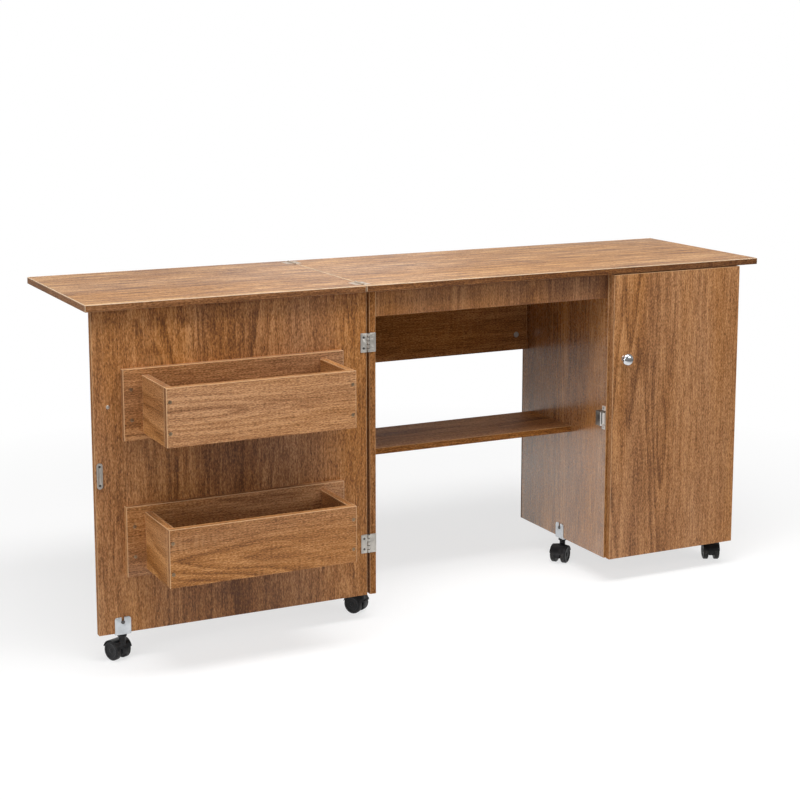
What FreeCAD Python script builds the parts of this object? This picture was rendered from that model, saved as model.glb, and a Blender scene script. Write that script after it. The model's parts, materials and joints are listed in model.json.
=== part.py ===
# Folding sewing and cutting table: a cupboard carcass on six casters, a fold-over leaf hinged on the top,
# and a swing gate that carries two bins and holds the leaf up. Millimetres, +Z up, +Y to the back,
# origin on the floor under the middle of the opened table.
import FreeCAD, Part
import Sketcher
import os
import re

Vector = FreeCAD.Vector
Rotation = FreeCAD.Rotation

# Driving sizes, each in a cell of the sheet under its own name
SIZES = {
    # boards and overall form
    "board": 15.0,
    "table_height": 765.0,
    "seam_gap": 1.5,
    "top_depth": 456.0,
    "front_overhang": 19.0,
    "left_overhang": 14.5,
    "right_overhang": 51.0,
    "back_overhang": 48.0,
    "leaf_overhang": 15.8,
    "kneehole_width": 603.0,
    "cupboard_width": 332.5,
    "under_top_gap": 2.0,
    "apron_height": 58.0,
    "rail_height": 240.0,
    "knee_space_height": 278.0,
    "knee_shelf_setback": 153.0,
    "knee_shelf_back_setback": 46.0,
    # cupboard
    "back_sheet": 5.0,
    "inner_shelf_setback": 24.0,
    "inner_shelf_gap": 0.5,
    "low_space_height": 208.0,
    "high_space_height": 225.0,
    "door_reveal": 4.5,
    "pin_peg_radius": 2.5,
    "pin_peg_depth": 8.0,
    "pin_peg_inset": 45.0,
    # swing gate and its bins
    "gate_gap": 6.7,
    "bin_board_left_inset": 60.5,
    "bin_board_right_inset": 62.5,
    "bin_board_height": 150.0,
    "low_board_rise": 123.5,
    "high_board_drop": 124.0,
    "bin_side_inset": 40.5,
    "bin_depth": 153.0,
    "bin_height": 122.0,
    "bin_floor": 9.0,
    "board_screw_inset": 17.5,
    "bin_screw_pitch": 64.5,
    # butt hinges
    "hinge_length": 42.5,
    "hinge_width": 15.0,
    "hinge_sheet": 1.2,
    "hinge_corner_radius": 1.5,
    "hinge_offset": 1.6,
    "knuckle_radius": 2.5,
    "knuckle_room": 0.4,
    "knuckle_gap": 0.15,
    "hinge_pin_radius": 1.25,
    "tab_start": 1.8,
    "running_fit": 0.05,
    "hinge_screw_pitch": 24.0,
    "low_hinge_inset": 97.5,
    "high_hinge_inset": 91.0,
    "leaf_hinge_inset": 16.0,
    # screws, cams and knobs
    "screw_head_radius": 2.9,
    "screw_head_height": 1.2,
    "screw_radius": 1.4,
    "screw_length": 12.0,
    "long_head_radius": 4.0,
    "long_head_height": 2.4,
    "long_radius": 2.0,
    "long_screw_skin": 4.0,
    "pan_radius": 4.0,
    "pan_height": 2.2,
    "pan_shank_radius": 2.0,
    "pan_length": 14.0,
    "cam_radius": 7.5,
    "cam_skin": 3.0,
    "cam_inset": 30.5,
    "cam_edge": 39.0,
    "apron_cam_drop": 29.0,
    "knob_inset": 31.5,
    "knob_drop": 202.0,
    "knob_base_radius": 8.5,
    "knob_neck_radius": 6.0,
    "knob_neck_height": 11.0,
    "knob_head_radius": 14.5,
    "knob_head_half": 8.0,
    "knob_head_centre": 15.5,
    "knob_screw_radius": 2.0,
    "knob_screw_bite": 10.0,
    "knob_screw_head_radius": 4.0,
    "knob_screw_head_height": 2.2,
    # magnetic catches and their strike plates
    "gate_catch_drop": 345.5,
    "door_catch_drop": 95.0,
    "catch_reach": 1.7,
    "catch_width": 16.0,
    "catch_length": 22.0,
    "catch_height": 35.0,
    "catch_ear_height": 56.0,
    "catch_ear_sheet": 2.5,
    "catch_ear_length": 12.0,
    "catch_ear_setback": 4.0,
    "catch_screw_pitch": 47.0,
    "magnet_thickness": 3.0,
    "magnet_width": 8.0,
    "magnet_height": 27.0,
    "strike_width": 13.0,
    "strike_length": 55.0,
    "strike_sheet": 1.2,
    "strike_inset": 4.0,
    "strike_screw_pitch": 40.0,
    # casters and their angle brackets
    "bracket_width": 35.0,
    "bracket_height": 35.0,
    "bracket_sheet": 2.5,
    "bracket_corner_radius": 6.0,
    "flange_sheet": 3.0,
    "flange_lip": 1.0,
    "notch_radius": 3.0,
    "notch_depth": 11.0,
    "gate_caster_inset": 51.0,
    "caster_end_inset": 60.0,
    "middle_caster_shift": 4.0,
    "stem_radius": 3.5,
    "stem_collar_radius": 6.0,
    "stem_collar_height": 1.7,
    "stem_play": 0.3,
    "stem_rise": 8.5,
    "boss_floor": 3.0,
    "hood_half": 7.0,
    "hood_web_drop": 7.0,
    "cap_radius": 10.0,
    "cap_height": 3.5,
    "cap_rise": 10.3,
    "fender_gap": 1.3,
    "fender_wall": 2.4,
    "fender_rise": 6.0,
    "caster_trail": 15.0,
    "wheel_radius": 21.5,
    "wheel_width": 12.5,
    "wheel_side_gap": 0.5,
    "tread_bevel": 2.6,
    "inner_bevel": 1.2,
    "rim_width": 6.0,
    "disc_recess": 1.6,
    "hub_radius": 5.5,
    "axle_radius": 2.5,
    "axle_seat": 7.0,
    # how far a cutting tool runs past the face that it opens
    "overrun": 1.0,
    # degrees from +X towards which each caster trails
    "gate_caster_angle": 114.0,
    "left_front_caster_angle": 123.0,
    "left_back_caster_angle": 75.0,
    "middle_caster_angle": 217.0,
    "right_front_caster_angle": 244.0,
    "right_back_caster_angle": 120.0,
}

doc = FreeCAD.newDocument("FoldingTable")
sheet = doc.addObject("Spreadsheet::Sheet", "Sheet")
for row, (alias, value) in enumerate(SIZES.items(), start=1):
    sheet.set("A%d" % row, alias)
    sheet.set("B%d" % row, str(value))
    sheet.setAlias("B%d" % row, alias)
doc.recompute()

# Places worked out from the sizes, written as expressions
GATE_WIDTH = "(kneehole_width + board)"
MAIN_LENGTH = "(left_overhang + 3 * board + kneehole_width + cupboard_width + right_overhang)"
LEAF_LENGTH = "(%s + gate_gap - left_overhang + leaf_overhang)" % GATE_WIDTH
SEAM = "((%s - %s) / 2)" % (LEAF_LENGTH, MAIN_LENGTH)
TOP_FRONT = "(-(top_depth + front_overhang - board - bin_depth) / 2)"
FRONT = "(%s + front_overhang)" % TOP_FRONT
CARCASS_DEPTH = "(top_depth - front_overhang - back_overhang)"
BACK = "(%s + %s)" % (FRONT, CARCASS_DEPTH)
UNDER = "(table_height - board)"
FENDER_INNER = "(wheel_radius + fender_gap)"
FENDER_OUTER = "(%s + fender_wall)" % FENDER_INNER
HOOD_TOP = "(wheel_radius + %s + cap_rise)" % FENDER_OUTER
FLANGE_BOTTOM = "(%s + stem_play + stem_collar_height)" % HOOD_TOP
FLOOR_GAP = "(%s + flange_sheet)" % FLANGE_BOTTOM
BRACKET_TOP = "(%s + bracket_height)" % FLOOR_GAP
PANEL_HEIGHT = "(%s - %s)" % (UNDER, FLOOR_GAP)
LEFT = "(%s + left_overhang)" % SEAM
KNEE_LEFT = "(%s + board)" % LEFT
KNEE_RIGHT = "(%s + kneehole_width)" % KNEE_LEFT
CUP_LEFT = "(%s + board)" % KNEE_RIGHT
CUP_RIGHT = "(%s + cupboard_width)" % CUP_LEFT
RIGHT = "(%s + board)" % CUP_RIGHT
AXIS_Y = "(%s - hinge_offset)" % FRONT
GATE_AXIS = "(%s - gate_gap / 2)" % LEFT
GATE_RIGHT = "(%s - gate_gap)" % LEFT
GATE_LEFT = "(%s - %s)" % (GATE_RIGHT, GATE_WIDTH)
DOOR_AXIS = "(%s + gate_gap / 2)" % RIGHT
DOOR_BACK = "(%s - 2 * hinge_offset)" % FRONT
DOOR_FRONT = "(%s - board)" % DOOR_BACK
DOOR_LEFT = "(%s + door_reveal)" % KNEE_RIGHT
LEAF_AXIS = "(%s - seam_gap / 2)" % SEAM
LEAF_AXIS_Z = "(table_height + hinge_offset - hinge_sheet)"
SWING_HEIGHT = "(%s - under_top_gap)" % PANEL_HEIGHT
KNEE_SHELF_TOP = "(%s + knee_space_height + board)" % FLOOR_GAP
KNEE_SHELF_DEPTH = "(%s - knee_shelf_setback - knee_shelf_back_setback)" % CARCASS_DEPTH
LOW_SHELF_TOP = "(%s + board + low_space_height + board)" % FLOOR_GAP
HIGH_SHELF_TOP = "(%s - high_space_height)" % UNDER
KNOB_LEVEL = "(%s - knob_drop)" % UNDER
GATE_CATCH_LEVEL = "(%s - gate_catch_drop)" % UNDER
DOOR_CATCH_LEVEL = "(%s - door_catch_drop)" % UNDER
BIN_BOARD_LEFT = "(%s + bin_board_left_inset)" % GATE_LEFT
BIN_BOARD_WIDTH = "(%s - bin_board_left_inset - bin_board_right_inset)" % GATE_WIDTH
BIN_LEFT = "(%s + bin_side_inset)" % BIN_BOARD_LEFT
BIN_WIDTH = "(%s - 2 * bin_side_inset)" % BIN_BOARD_WIDTH
BIN_LIFT = "((bin_board_height - bin_height) / 2)"
BIN_BOARD_FACE = "(%s - board)" % FRONT
BIN_FRONT = "(%s - bin_depth)" % BIN_BOARD_FACE
CAM_DEPTH = "(board - cam_skin)"

# Turns that point a piece's own +Z into the given direction
TURNS = {
    "+z": (Vector(0, 0, 1), 0),
    "-z": (Vector(1, 0, 0), 180),
    "+y": (Vector(1, 0, 0), -90),
    "-y": (Vector(1, 0, 0), 90),
    "+x": (Vector(0, 1, 0), 90),
    "-x": (Vector(0, 1, 0), -90),
}
# A box's edges by number: along X at its top, and along Y at its low-X or high-X side
UPPER_X_EDGES = ["Edge10", "Edge12"]
LOW_X_Y_EDGES = ["Edge2", "Edge4"]
HIGH_X_Y_EDGES = ["Edge6", "Edge8"]
WORD = re.compile(r"[a-z][a-z_]*[a-z]")
nodes = []


def bound(text):
    """Turns the sizes' names in an expression into cells of the sheet."""
    return WORD.sub(lambda m: "Sheet." + m.group(0) if m.group(0) in SIZES else m.group(0), text)


def place(piece, spot, turn=None):
    """Sets a piece down at a spot of three expressions, turned about an axis through that spot."""
    axis, angle = turn or TURNS["+z"]
    piece.Placement = FreeCAD.Placement(Vector(), Rotation(axis, angle))
    for name, text in zip("xyz", spot):
        piece.setExpression("Placement.Base." + name, bound(text))
    return piece


def block(name, spot, sides):
    """A box with its low corner at the spot."""
    piece = doc.addObject("Part::Box", name)
    for prop, text in zip(("Length", "Width", "Height"), sides):
        piece.setExpression(prop, bound(text))
    return place(piece, spot)


def rounded_block(name, spot, sides, edges, radius):
    """A box with some of its edges rounded."""
    body = doc.addObject("PartDesign::Body", name)
    box = body.newObject("PartDesign::AdditiveBox", name + "_box")
    for prop, text in zip(("Length", "Width", "Height"), sides):
        box.setExpression(prop, bound(text))
    rounding = body.newObject("PartDesign::Fillet", name + "_rounding")
    rounding.Base = (box, edges)
    rounding.setExpression("Radius", bound(radius))
    return place(body, spot)


def rod(name, spot, radius, length, direction="+z"):
    """A cylinder that runs from the spot in the given direction."""
    piece = doc.addObject("Part::Cylinder", name)
    piece.setExpression("Radius", bound(radius))
    piece.setExpression("Height", bound(length))
    return place(piece, spot, TURNS[direction])


def group(name, pieces):
    """Several solids kept together, each still its own solid."""
    piece = doc.addObject("Part::Compound", name)
    piece.Links = pieces
    return piece


def fuse(name, pieces):
    piece = doc.addObject("Part::MultiFuse", name)
    piece.Shapes = pieces
    piece.Refine = True
    return piece


def cut(name, base, tools):
    """Takes the tools' shapes out of the base."""
    piece = doc.addObject("Part::Cut", name)
    piece.Base = base
    piece.Tool = tools[0] if len(tools) == 1 else group(name + "_tools", tools)
    return piece


def common(name, first, second):
    piece = doc.addObject("Part::Common", name)
    piece.Base = first
    piece.Tool = second
    return piece


def copy(name, master, spot, turn=None):
    """The same piece again, set down somewhere else."""
    return place(group(name, [master]), spot, turn)


def number(text):
    """The plain number of a sum of sizes, for an outline's first drawing."""
    total = 0.0
    for sign, word in re.findall(r"([+-]?)\s*([a-z][a-z_]*[a-z])", text):
        total += -SIZES[word] if sign == "-" else SIZES[word]
    return total


def turned(name, points):
    """A body of revolution about its own +Z, from a closed outline of (radius, height) expressions."""
    body = doc.addObject("PartDesign::Body", name)
    sketch = body.newObject("Sketcher::SketchObject", name + "_outline")
    plane = [f for f in body.Origin.OriginFeatures if f.Role == "XZ_Plane"][0]
    sketch.AttachmentSupport = [(plane, "")]
    sketch.MapMode = "FlatFace"
    values = [tuple(number(text) for text in point) for point in points]
    count = len(points)
    for i in range(count):
        here = Vector(values[i][0], values[i][1], 0)
        there = Vector(values[(i + 1) % count][0], values[(i + 1) % count][1], 0)
        sketch.addGeometry(Part.LineSegment(here, there), False)
    for i in range(count):
        sketch.addConstraint(Sketcher.Constraint("Coincident", i, 2, (i + 1) % count, 1))
    for i, (radius, height) in enumerate(points):
        if radius == "0":
            sketch.addConstraint(Sketcher.Constraint("PointOnObject", i, 1, -2))
        else:
            mark = sketch.addConstraint(Sketcher.Constraint("DistanceX", -1, 1, i, 1, values[i][0]))
            sketch.renameConstraint(mark, "radius%d" % i)
            sketch.setExpression("Constraints.radius%d" % i, bound(radius))
        if height == "0":
            sketch.addConstraint(Sketcher.Constraint("PointOnObject", i, 1, -1))
        else:
            mark = sketch.addConstraint(Sketcher.Constraint("DistanceY", -1, 1, i, 1, values[i][1]))
            sketch.renameConstraint(mark, "height%d" % i)
            sketch.setExpression("Constraints.height%d" % i, bound(height))
    turn = body.newObject("PartDesign::Revolution", name + "_turn")
    turn.Profile = sketch
    turn.ReferenceAxis = (sketch, ["V_Axis"])
    turn.Angle = 360
    body.Tip = turn
    return body


def node(name, piece):
    """Names a finished sub-part."""
    piece.Label = name
    nodes.append((name, piece))
    return piece


def ends(low, high, inset):
    """Two places, the same inset from each of two ends."""
    return ["(%s + %s)" % (low, inset), "(%s - %s)" % (high, inset)]


# Screws: the head's face is at the piece's own zero and the shank runs along +Z
screw = turned("screw", [
    ("0", "0"),
    ("screw_head_radius", "0"),
    ("screw_radius", "screw_head_height"),
    ("screw_radius", "screw_length"),
    ("0", "screw_length"),
])
long_screw = turned("long_screw", [
    ("0", "0"),
    ("long_head_radius", "0"),
    ("long_radius", "long_head_height"),
    ("long_radius", "board + board - long_screw_skin"),
    ("0", "board + board - long_screw_skin"),
])
pan_screw = turned("pan_screw", [
    ("0", "0"),
    ("pan_radius", "0"),
    ("pan_radius", "pan_height"),
    ("pan_shank_radius", "pan_height"),
    ("pan_shank_radius", "pan_height + pan_length"),
    ("0", "pan_height + pan_length"),
])
knob_screw = turned("knob_screw", [
    ("0", "0"),
    ("knob_screw_head_radius", "0"),
    ("knob_screw_head_radius", "knob_screw_head_height"),
    ("knob_screw_radius", "knob_screw_head_height"),
    ("knob_screw_radius", "knob_screw_head_height + board + knob_screw_bite"),
    ("0", "knob_screw_head_height + board + knob_screw_bite"),
])


def screws(name, master, direction, spots):
    """A set of one kind of screw, heads at the spots, driven in the given direction."""
    pieces = []
    for i, spot in enumerate(spots, start=1):
        pieces.append(copy("%s_%d" % (name, i), master, spot, TURNS[direction]))
    return group(name, pieces)


# Butt hinge: pin along the piece's own +Z, sheets on the plane that lies hinge_offset behind the pin
SEGMENT = "(hinge_length / 5)"


def hinge_leaf(name, side, segments, bore, gap):
    """One leaf with its rolled knuckles; side is + for the sheet towards +X and - for the other way."""
    face = "hinge_offset - hinge_sheet"
    start = "gate_gap / 2" if side == "+" else "-gate_gap / 2 - hinge_width"
    tab = "tab_start" if side == "+" else "-gate_gap / 2"
    reach = "gate_gap / 2 - tab_start"
    far_edges = HIGH_X_Y_EDGES if side == "+" else LOW_X_Y_EDGES
    pieces = [rounded_block(name + "_sheet", (start, face, "0"), ("hinge_width", "hinge_sheet", "hinge_length"),
                            far_edges, "hinge_corner_radius")]
    for i in segments:
        low = "%d * %s + %s" % (i, SEGMENT, gap)
        tall = "%s - 2 * %s" % (SEGMENT, gap)
        pieces.append(block("%s_tab_%d" % (name, i), (tab, face, low), (reach, "hinge_sheet", tall)))
        pieces.append(rod("%s_knuckle_%d" % (name, i), ("0", "0", low), "knuckle_radius", tall))
    solid = fuse(name + "_solid", pieces)
    hole = rod(name + "_hole", ("0", "0", "-overrun"), bore, "hinge_length + 2 * overrun")
    return cut(name, solid, [hole])


fixed_leaf = hinge_leaf("fixed_leaf", "+", (0, 2, 4), "hinge_pin_radius", "0")
moving_leaf = hinge_leaf("moving_leaf", "-", (1, 3), "hinge_pin_radius + running_fit", "knuckle_gap")
hinge_pin = rod("hinge_pin", ("0", "0", "0"), "hinge_pin_radius", "hinge_length")
HINGE_LEVELS = [
    "(%s + low_hinge_inset)" % FLOOR_GAP,
    "(%s - under_top_gap - high_hinge_inset - hinge_length)" % UNDER,
]
SCREW_STEPS = ["(hinge_length - hinge_screw_pitch) / 2", "(hinge_length + hinge_screw_pitch) / 2"]
SHEET_MIDDLE = "(gate_gap + hinge_width) / 2"
SHEET_FACE_Y = "(%s - hinge_sheet)" % FRONT
LEAF_HINGE_Y = [
    "(%s + leaf_hinge_inset)" % TOP_FRONT,
    "(%s + top_depth - leaf_hinge_inset - hinge_length)" % TOP_FRONT,
]

UPRIGHT_SCREWS = ["%s + %s" % (z, step) for z in HINGE_LEVELS for step in SCREW_STEPS]
LYING_SCREWS = ["%s + %s" % (y, step) for y in LEAF_HINGE_Y for step in SCREW_STEPS]


def copies(name, master, spots, turn=None):
    """The same piece at each of several spots."""
    return [copy("%s_%d" % (name, i), master, spot, turn) for i, spot in enumerate(spots)]


# Gate hinges: fixed leaves on the left side's front edge, moving leaves on the gate's front face
gate_hinge_spots = [(GATE_AXIS, AXIS_Y, z) for z in HINGE_LEVELS]
gate_fixed = copies("gate_fixed", fixed_leaf, gate_hinge_spots)
gate_moving = copies("gate_moving", moving_leaf, gate_hinge_spots)
gate_fixed_x = "%s + %s" % (GATE_AXIS, SHEET_MIDDLE)
gate_moving_x = "%s - %s" % (GATE_AXIS, SHEET_MIDDLE)
gate_fixed_screws = screws("gate_fixed_screws", screw, "+y",
                           [(gate_fixed_x, SHEET_FACE_Y, z) for z in UPRIGHT_SCREWS])
gate_moving_screws = screws("gate_moving_screws", screw, "+y",
                            [(gate_moving_x, SHEET_FACE_Y, z) for z in UPRIGHT_SCREWS])

# Door hinges: the same hinge shut, one leaf on the cupboard's right front edge and one on the door's back
door_hinge_spots = [(DOOR_AXIS, AXIS_Y, "%s + hinge_length" % z) for z in HINGE_LEVELS]
door_fixed = copies("door_fixed", fixed_leaf, door_hinge_spots, (Vector(0, 1, 0), 180))
door_moving = copies("door_moving", moving_leaf, door_hinge_spots, (Vector(1, 0, 0), 180))
door_sheet_x = "%s - %s" % (DOOR_AXIS, SHEET_MIDDLE)
door_sheet_y = "%s + hinge_sheet" % DOOR_BACK
door_fixed_screws = screws("door_fixed_screws", screw, "+y",
                           [(door_sheet_x, SHEET_FACE_Y, z) for z in UPRIGHT_SCREWS])
door_moving_screws = screws("door_moving_screws", screw, "-y",
                            [(door_sheet_x, door_sheet_y, z) for z in UPRIGHT_SCREWS])

# Leaf hinges: let in flush on the two tops, pin just above the surface so that the leaf folds flat over
LIE_DOWN = (Vector(1, 0, 0), -90)
leaf_hinge_spots = [(LEAF_AXIS, y, LEAF_AXIS_Z) for y in LEAF_HINGE_Y]
leaf_fixed = copies("leaf_fixed", fixed_leaf, leaf_hinge_spots, LIE_DOWN)
leaf_moving = copies("leaf_moving", moving_leaf, leaf_hinge_spots, LIE_DOWN)
leaf_fixed_x = "%s + %s" % (LEAF_AXIS, SHEET_MIDDLE)
leaf_moving_x = "%s - %s" % (LEAF_AXIS, SHEET_MIDDLE)
leaf_fixed_screws = screws("leaf_fixed_screws", screw, "-z",
                           [(leaf_fixed_x, y, "table_height") for y in LYING_SCREWS])
leaf_moving_screws = screws("leaf_moving_screws", screw, "-z",
                            [(leaf_moving_x, y, "table_height") for y in LYING_SCREWS])


def let_in(name, start):
    """The pockets that take the hinge sheets on one top, with room for the knuckles at the seam."""
    pieces = []
    for i, y in enumerate(LEAF_HINGE_Y):
        pocket = block("%s_pocket_%d" % (name, i), (start, y, "table_height - hinge_sheet"),
                       ("gate_gap / 2 + hinge_width", "hinge_length", "hinge_sheet + overrun"))
        groove = rod("%s_groove_%d" % (name, i), (LEAF_AXIS, y, LEAF_AXIS_Z),
                     "knuckle_radius + knuckle_room", "hinge_length", "+y")
        pieces.append(fuse("%s_recess_%d" % (name, i), [pocket, groove]))
    return pieces


# Pins of all six hinges
pins = copies("gate_pin", hinge_pin, gate_hinge_spots)
pins += copies("door_pin", hinge_pin, [(DOOR_AXIS, AXIS_Y, z) for z in HINGE_LEVELS])
pins += copies("leaf_pin", hinge_pin, leaf_hinge_spots, LIE_DOWN)

# Angle bracket of a caster: panel's middle plane at its own x zero, plate on the -X face, floor at zero
PLATE_X = "(-board / 2 - bracket_sheet)"
NOTCH_LEVEL = "(%s - notch_depth)" % BRACKET_TOP
bracket_plate = rounded_block("bracket_plate", (PLATE_X, "-bracket_width / 2", FLANGE_BOTTOM),
                              ("bracket_sheet", "bracket_width", "%s - %s" % (BRACKET_TOP, FLANGE_BOTTOM)),
                              UPPER_X_EDGES, "bracket_corner_radius")
bracket_flange = block("bracket_flange", ("-board / 2", "-bracket_width / 2", FLANGE_BOTTOM),
                       ("board + flange_lip", "bracket_width", "flange_sheet"))
notch_end = rod("notch_end", ("%s - overrun" % PLATE_X, "0", NOTCH_LEVEL),
                "notch_radius", "bracket_sheet + 2 * overrun", "+x")
notch_slot = block("notch_slot", ("%s - overrun" % PLATE_X, "-notch_radius", NOTCH_LEVEL),
                   ("bracket_sheet + 2 * overrun", "2 * notch_radius", "notch_depth + overrun"))
notch = fuse("notch", [notch_end, notch_slot])
bracket = cut("bracket", fuse("bracket_solid", [bracket_plate, bracket_flange]), [notch])
bracket_screw_spot = ("%s - pan_height" % PLATE_X, "0", NOTCH_LEVEL)
bracket_screw = copy("bracket_screw", pan_screw, bracket_screw_spot, TURNS["+x"])

# Caster stem: a collar under the flange and a shaft that stands in the hood
BORE_END = "(wheel_radius + stem_rise)"
stem = turned("stem", [
    ("0", "%s + stem_play" % BORE_END),
    ("stem_radius", "%s + stem_play" % BORE_END),
    ("stem_radius", "%s + stem_play" % HOOD_TOP),
    ("stem_collar_radius", "%s + stem_play" % HOOD_TOP),
    ("stem_collar_radius", FLANGE_BOTTOM),
    ("0", FLANGE_BOTTOM),
])

# Caster hood: web between the wheels, boss round the stem, fender over both wheels; trails towards its own +X
HALF_SPAN = "(hood_half + wheel_side_gap + wheel_width)"
WEB_RADIUS = "(%s + fender_wall / 2)" % FENDER_INNER
WEB_REACH = "(%s + overrun)" % WEB_RADIUS
FENDER_REACH = "(%s + overrun)" % FENDER_OUTER
web_disc = rod("web_disc", ("caster_trail", "-hood_half", "wheel_radius"),
               WEB_RADIUS, "2 * hood_half", "+y")
web_keep = block("web_keep",
                 ("caster_trail - %s" % WEB_REACH, "-hood_half - overrun", "wheel_radius - hood_web_drop"),
                 ("2 * %s" % WEB_REACH, "2 * (hood_half + overrun)", "%s + hood_web_drop" % WEB_REACH))
web = common("web", web_disc, web_keep)
fender_ring = rod("fender_ring", ("caster_trail", "-%s" % HALF_SPAN, "wheel_radius"),
                  FENDER_OUTER, "2 * %s" % HALF_SPAN, "+y")
fender_keep = block("fender_keep",
                    ("caster_trail - %s" % FENDER_REACH, "-%s - overrun" % HALF_SPAN,
                     "wheel_radius + fender_rise"),
                    ("2 * %s" % FENDER_REACH, "2 * (%s + overrun)" % HALF_SPAN, FENDER_REACH))
fender_whole = common("fender_whole", fender_ring, fender_keep)
fender_room = rod("fender_room", ("caster_trail", "-%s - overrun" % HALF_SPAN, "wheel_radius"),
                  FENDER_INNER, "2 * (%s + overrun)" % HALF_SPAN, "+y")
fender = cut("fender", fender_whole, [fender_room])
boss_bottom = "(%s - boss_floor)" % BORE_END
boss = rod("boss", ("0", "0", boss_bottom), "hood_half", "%s - %s" % (HOOD_TOP, boss_bottom))
cap = rod("cap", ("0", "0", "%s - cap_height" % HOOD_TOP), "cap_radius", "cap_height")
hood_solid = fuse("hood_solid", [web, fender, boss, cap])
stem_bore = rod("stem_bore", ("0", "0", BORE_END),
                "stem_radius + running_fit", "%s - %s + overrun" % (HOOD_TOP, BORE_END))
axle_bore = rod("axle_bore", ("caster_trail", "-hood_half - overrun", "wheel_radius"),
                "axle_radius + running_fit", "2 * (hood_half + overrun)", "+y")
hood = cut("hood", hood_solid, [stem_bore, axle_bore])

# Caster wheel: inner face at its own zero, dished outer disc; two of them and an axle make a set
wheel = turned("wheel", [
    ("axle_radius + running_fit", "0"),
    ("wheel_radius - inner_bevel", "0"),
    ("wheel_radius", "inner_bevel"),
    ("wheel_radius", "wheel_width - tread_bevel"),
    ("wheel_radius - tread_bevel", "wheel_width"),
    ("wheel_radius - rim_width", "wheel_width"),
    ("wheel_radius - rim_width - disc_recess", "wheel_width - disc_recess"),
    ("hub_radius", "wheel_width - disc_recess"),
    ("hub_radius - disc_recess", "wheel_width"),
    ("0", "wheel_width"),
    ("0", "axle_seat + running_fit"),
    ("axle_radius + running_fit", "axle_seat + running_fit"),
])
WHEEL_FACE = "(hood_half + wheel_side_gap)"
wheel_set = group("wheel_set", [
    copy("wheel_right", wheel, ("caster_trail", WHEEL_FACE, "wheel_radius"), TURNS["+y"]),
    copy("wheel_left", wheel, ("caster_trail", "-%s" % WHEEL_FACE, "wheel_radius"), TURNS["-y"]),
    rod("axle", ("caster_trail", "-%s - axle_seat" % WHEEL_FACE, "wheel_radius"), "axle_radius",
        "2 * (%s + axle_seat)" % WHEEL_FACE, "+y"),
])

# Where the casters stand, on the middle planes of the panels that carry them, and how their brackets face
CASTERS = {
    "gate": ("%s + gate_caster_inset" % GATE_LEFT, "%s + board / 2" % FRONT, 90),
    "left_front": ("%s + board / 2" % LEFT, "%s + caster_end_inset" % FRONT, 180),
    "left_back": ("%s + board / 2" % LEFT, "%s - caster_end_inset" % BACK, 180),
    "middle": ("%s + board / 2" % KNEE_RIGHT, "(%s + %s) / 2 + middle_caster_shift" % (FRONT, BACK), 0),
    "right_front": ("%s - board / 2" % RIGHT, "%s + caster_end_inset" % FRONT, 180),
    "right_back": ("%s - board / 2" % RIGHT, "%s - caster_end_inset" % BACK, 180),
}
UPRIGHT = Vector(0, 0, 1)
brackets = {}
bracket_screws = {}
stems = {}
for key, (x, y, facing) in CASTERS.items():
    brackets[key] = copy("bracket_" + key, bracket, (x, y, "0"), (UPRIGHT, facing))
    bracket_screws[key] = copy("bracket_screw_" + key, bracket_screw, (x, y, "0"), (UPRIGHT, facing))
    stems[key] = copy("stem_" + key, stem, (x, y, "0"))
    for kind, master in (("hood", hood), ("wheels", wheel_set)):
        piece = copy("caster_%s_%s" % (key, kind), master, (x, y, "0"))
        piece.setExpression("Placement.Rotation.Angle", bound(key + "_caster_angle"))
        node("caster_%s_%s" % (key, kind), piece)


# Magnetic catches: ears and housing on a panel's face, magnet bar at the mouth
def catch(name, face, side, level):
    """A catch on the panel face at x = face; side says whether it stands out towards +X or -X."""
    mouth = "%s - catch_reach" % FRONT
    ear_y = "%s + catch_ear_setback" % mouth
    magnet_lift = "(catch_width - magnet_width) / 2"

    def slab(part, lift, y, sides):
        thick, long, tall = sides
        low = "%s + %s" % (face, lift) if side == "+" else "%s - %s - %s" % (face, lift, thick)
        return block("%s_%s" % (name, part), (low, y, "%s - %s / 2" % (level, tall)), sides)

    housing = slab("housing", "0", "%s + magnet_thickness" % mouth,
                   ("catch_width", "catch_length - magnet_thickness", "catch_height"))
    ears = slab("ears", "0", ear_y, ("catch_ear_sheet", "catch_ear_length", "catch_ear_height"))
    magnet = slab("magnet", magnet_lift, mouth, ("magnet_width", "magnet_thickness", "magnet_height"))
    head_x = "%s %s catch_ear_sheet" % (face, side)
    head_y = "%s + catch_ear_length / 2" % ear_y
    fasteners = screws(name + "_screws", screw, "-x" if side == "+" else "+x", [
        (head_x, head_y, "%s %s catch_screw_pitch / 2" % (level, sign)) for sign in ("-", "+")
    ])
    body = cut(name + "_body", fuse(name + "_solid", [housing, ears]), [fasteners])
    return group(name, [body, magnet]), fasteners


gate_catch, gate_catch_screws = catch("gate_catch", KNEE_RIGHT, "-", GATE_CATCH_LEVEL)
door_catch, door_catch_screws = catch("door_catch", CUP_LEFT, "+", DOOR_CATCH_LEVEL)


# Strike plates: bars with round ends, let lie on the gate's front face and on the door's back
def strike(name, left, y, direction, level):
    middle = "(%s + strike_width / 2)" % left
    half = "((strike_length - strike_width) / 2)"
    low_z = "%s - %s" % (level, half)
    high_z = "%s + %s" % (level, half)
    head_y = y if direction == "+y" else "%s + strike_sheet" % y
    bar = block(name + "_bar", (left, y, low_z), ("strike_width", "strike_sheet", "2 * %s" % half))
    low = rod(name + "_low", (middle, y, low_z), "strike_width / 2", "strike_sheet", "+y")
    high = rod(name + "_high", (middle, y, high_z), "strike_width / 2", "strike_sheet", "+y")
    fasteners = screws(name + "_screws", screw, direction, [
        (middle, head_y, "%s %s strike_screw_pitch / 2" % (level, sign)) for sign in ("-", "+")
    ])
    return cut(name, fuse(name + "_solid", [bar, low, high]), [fasteners]), fasteners


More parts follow.
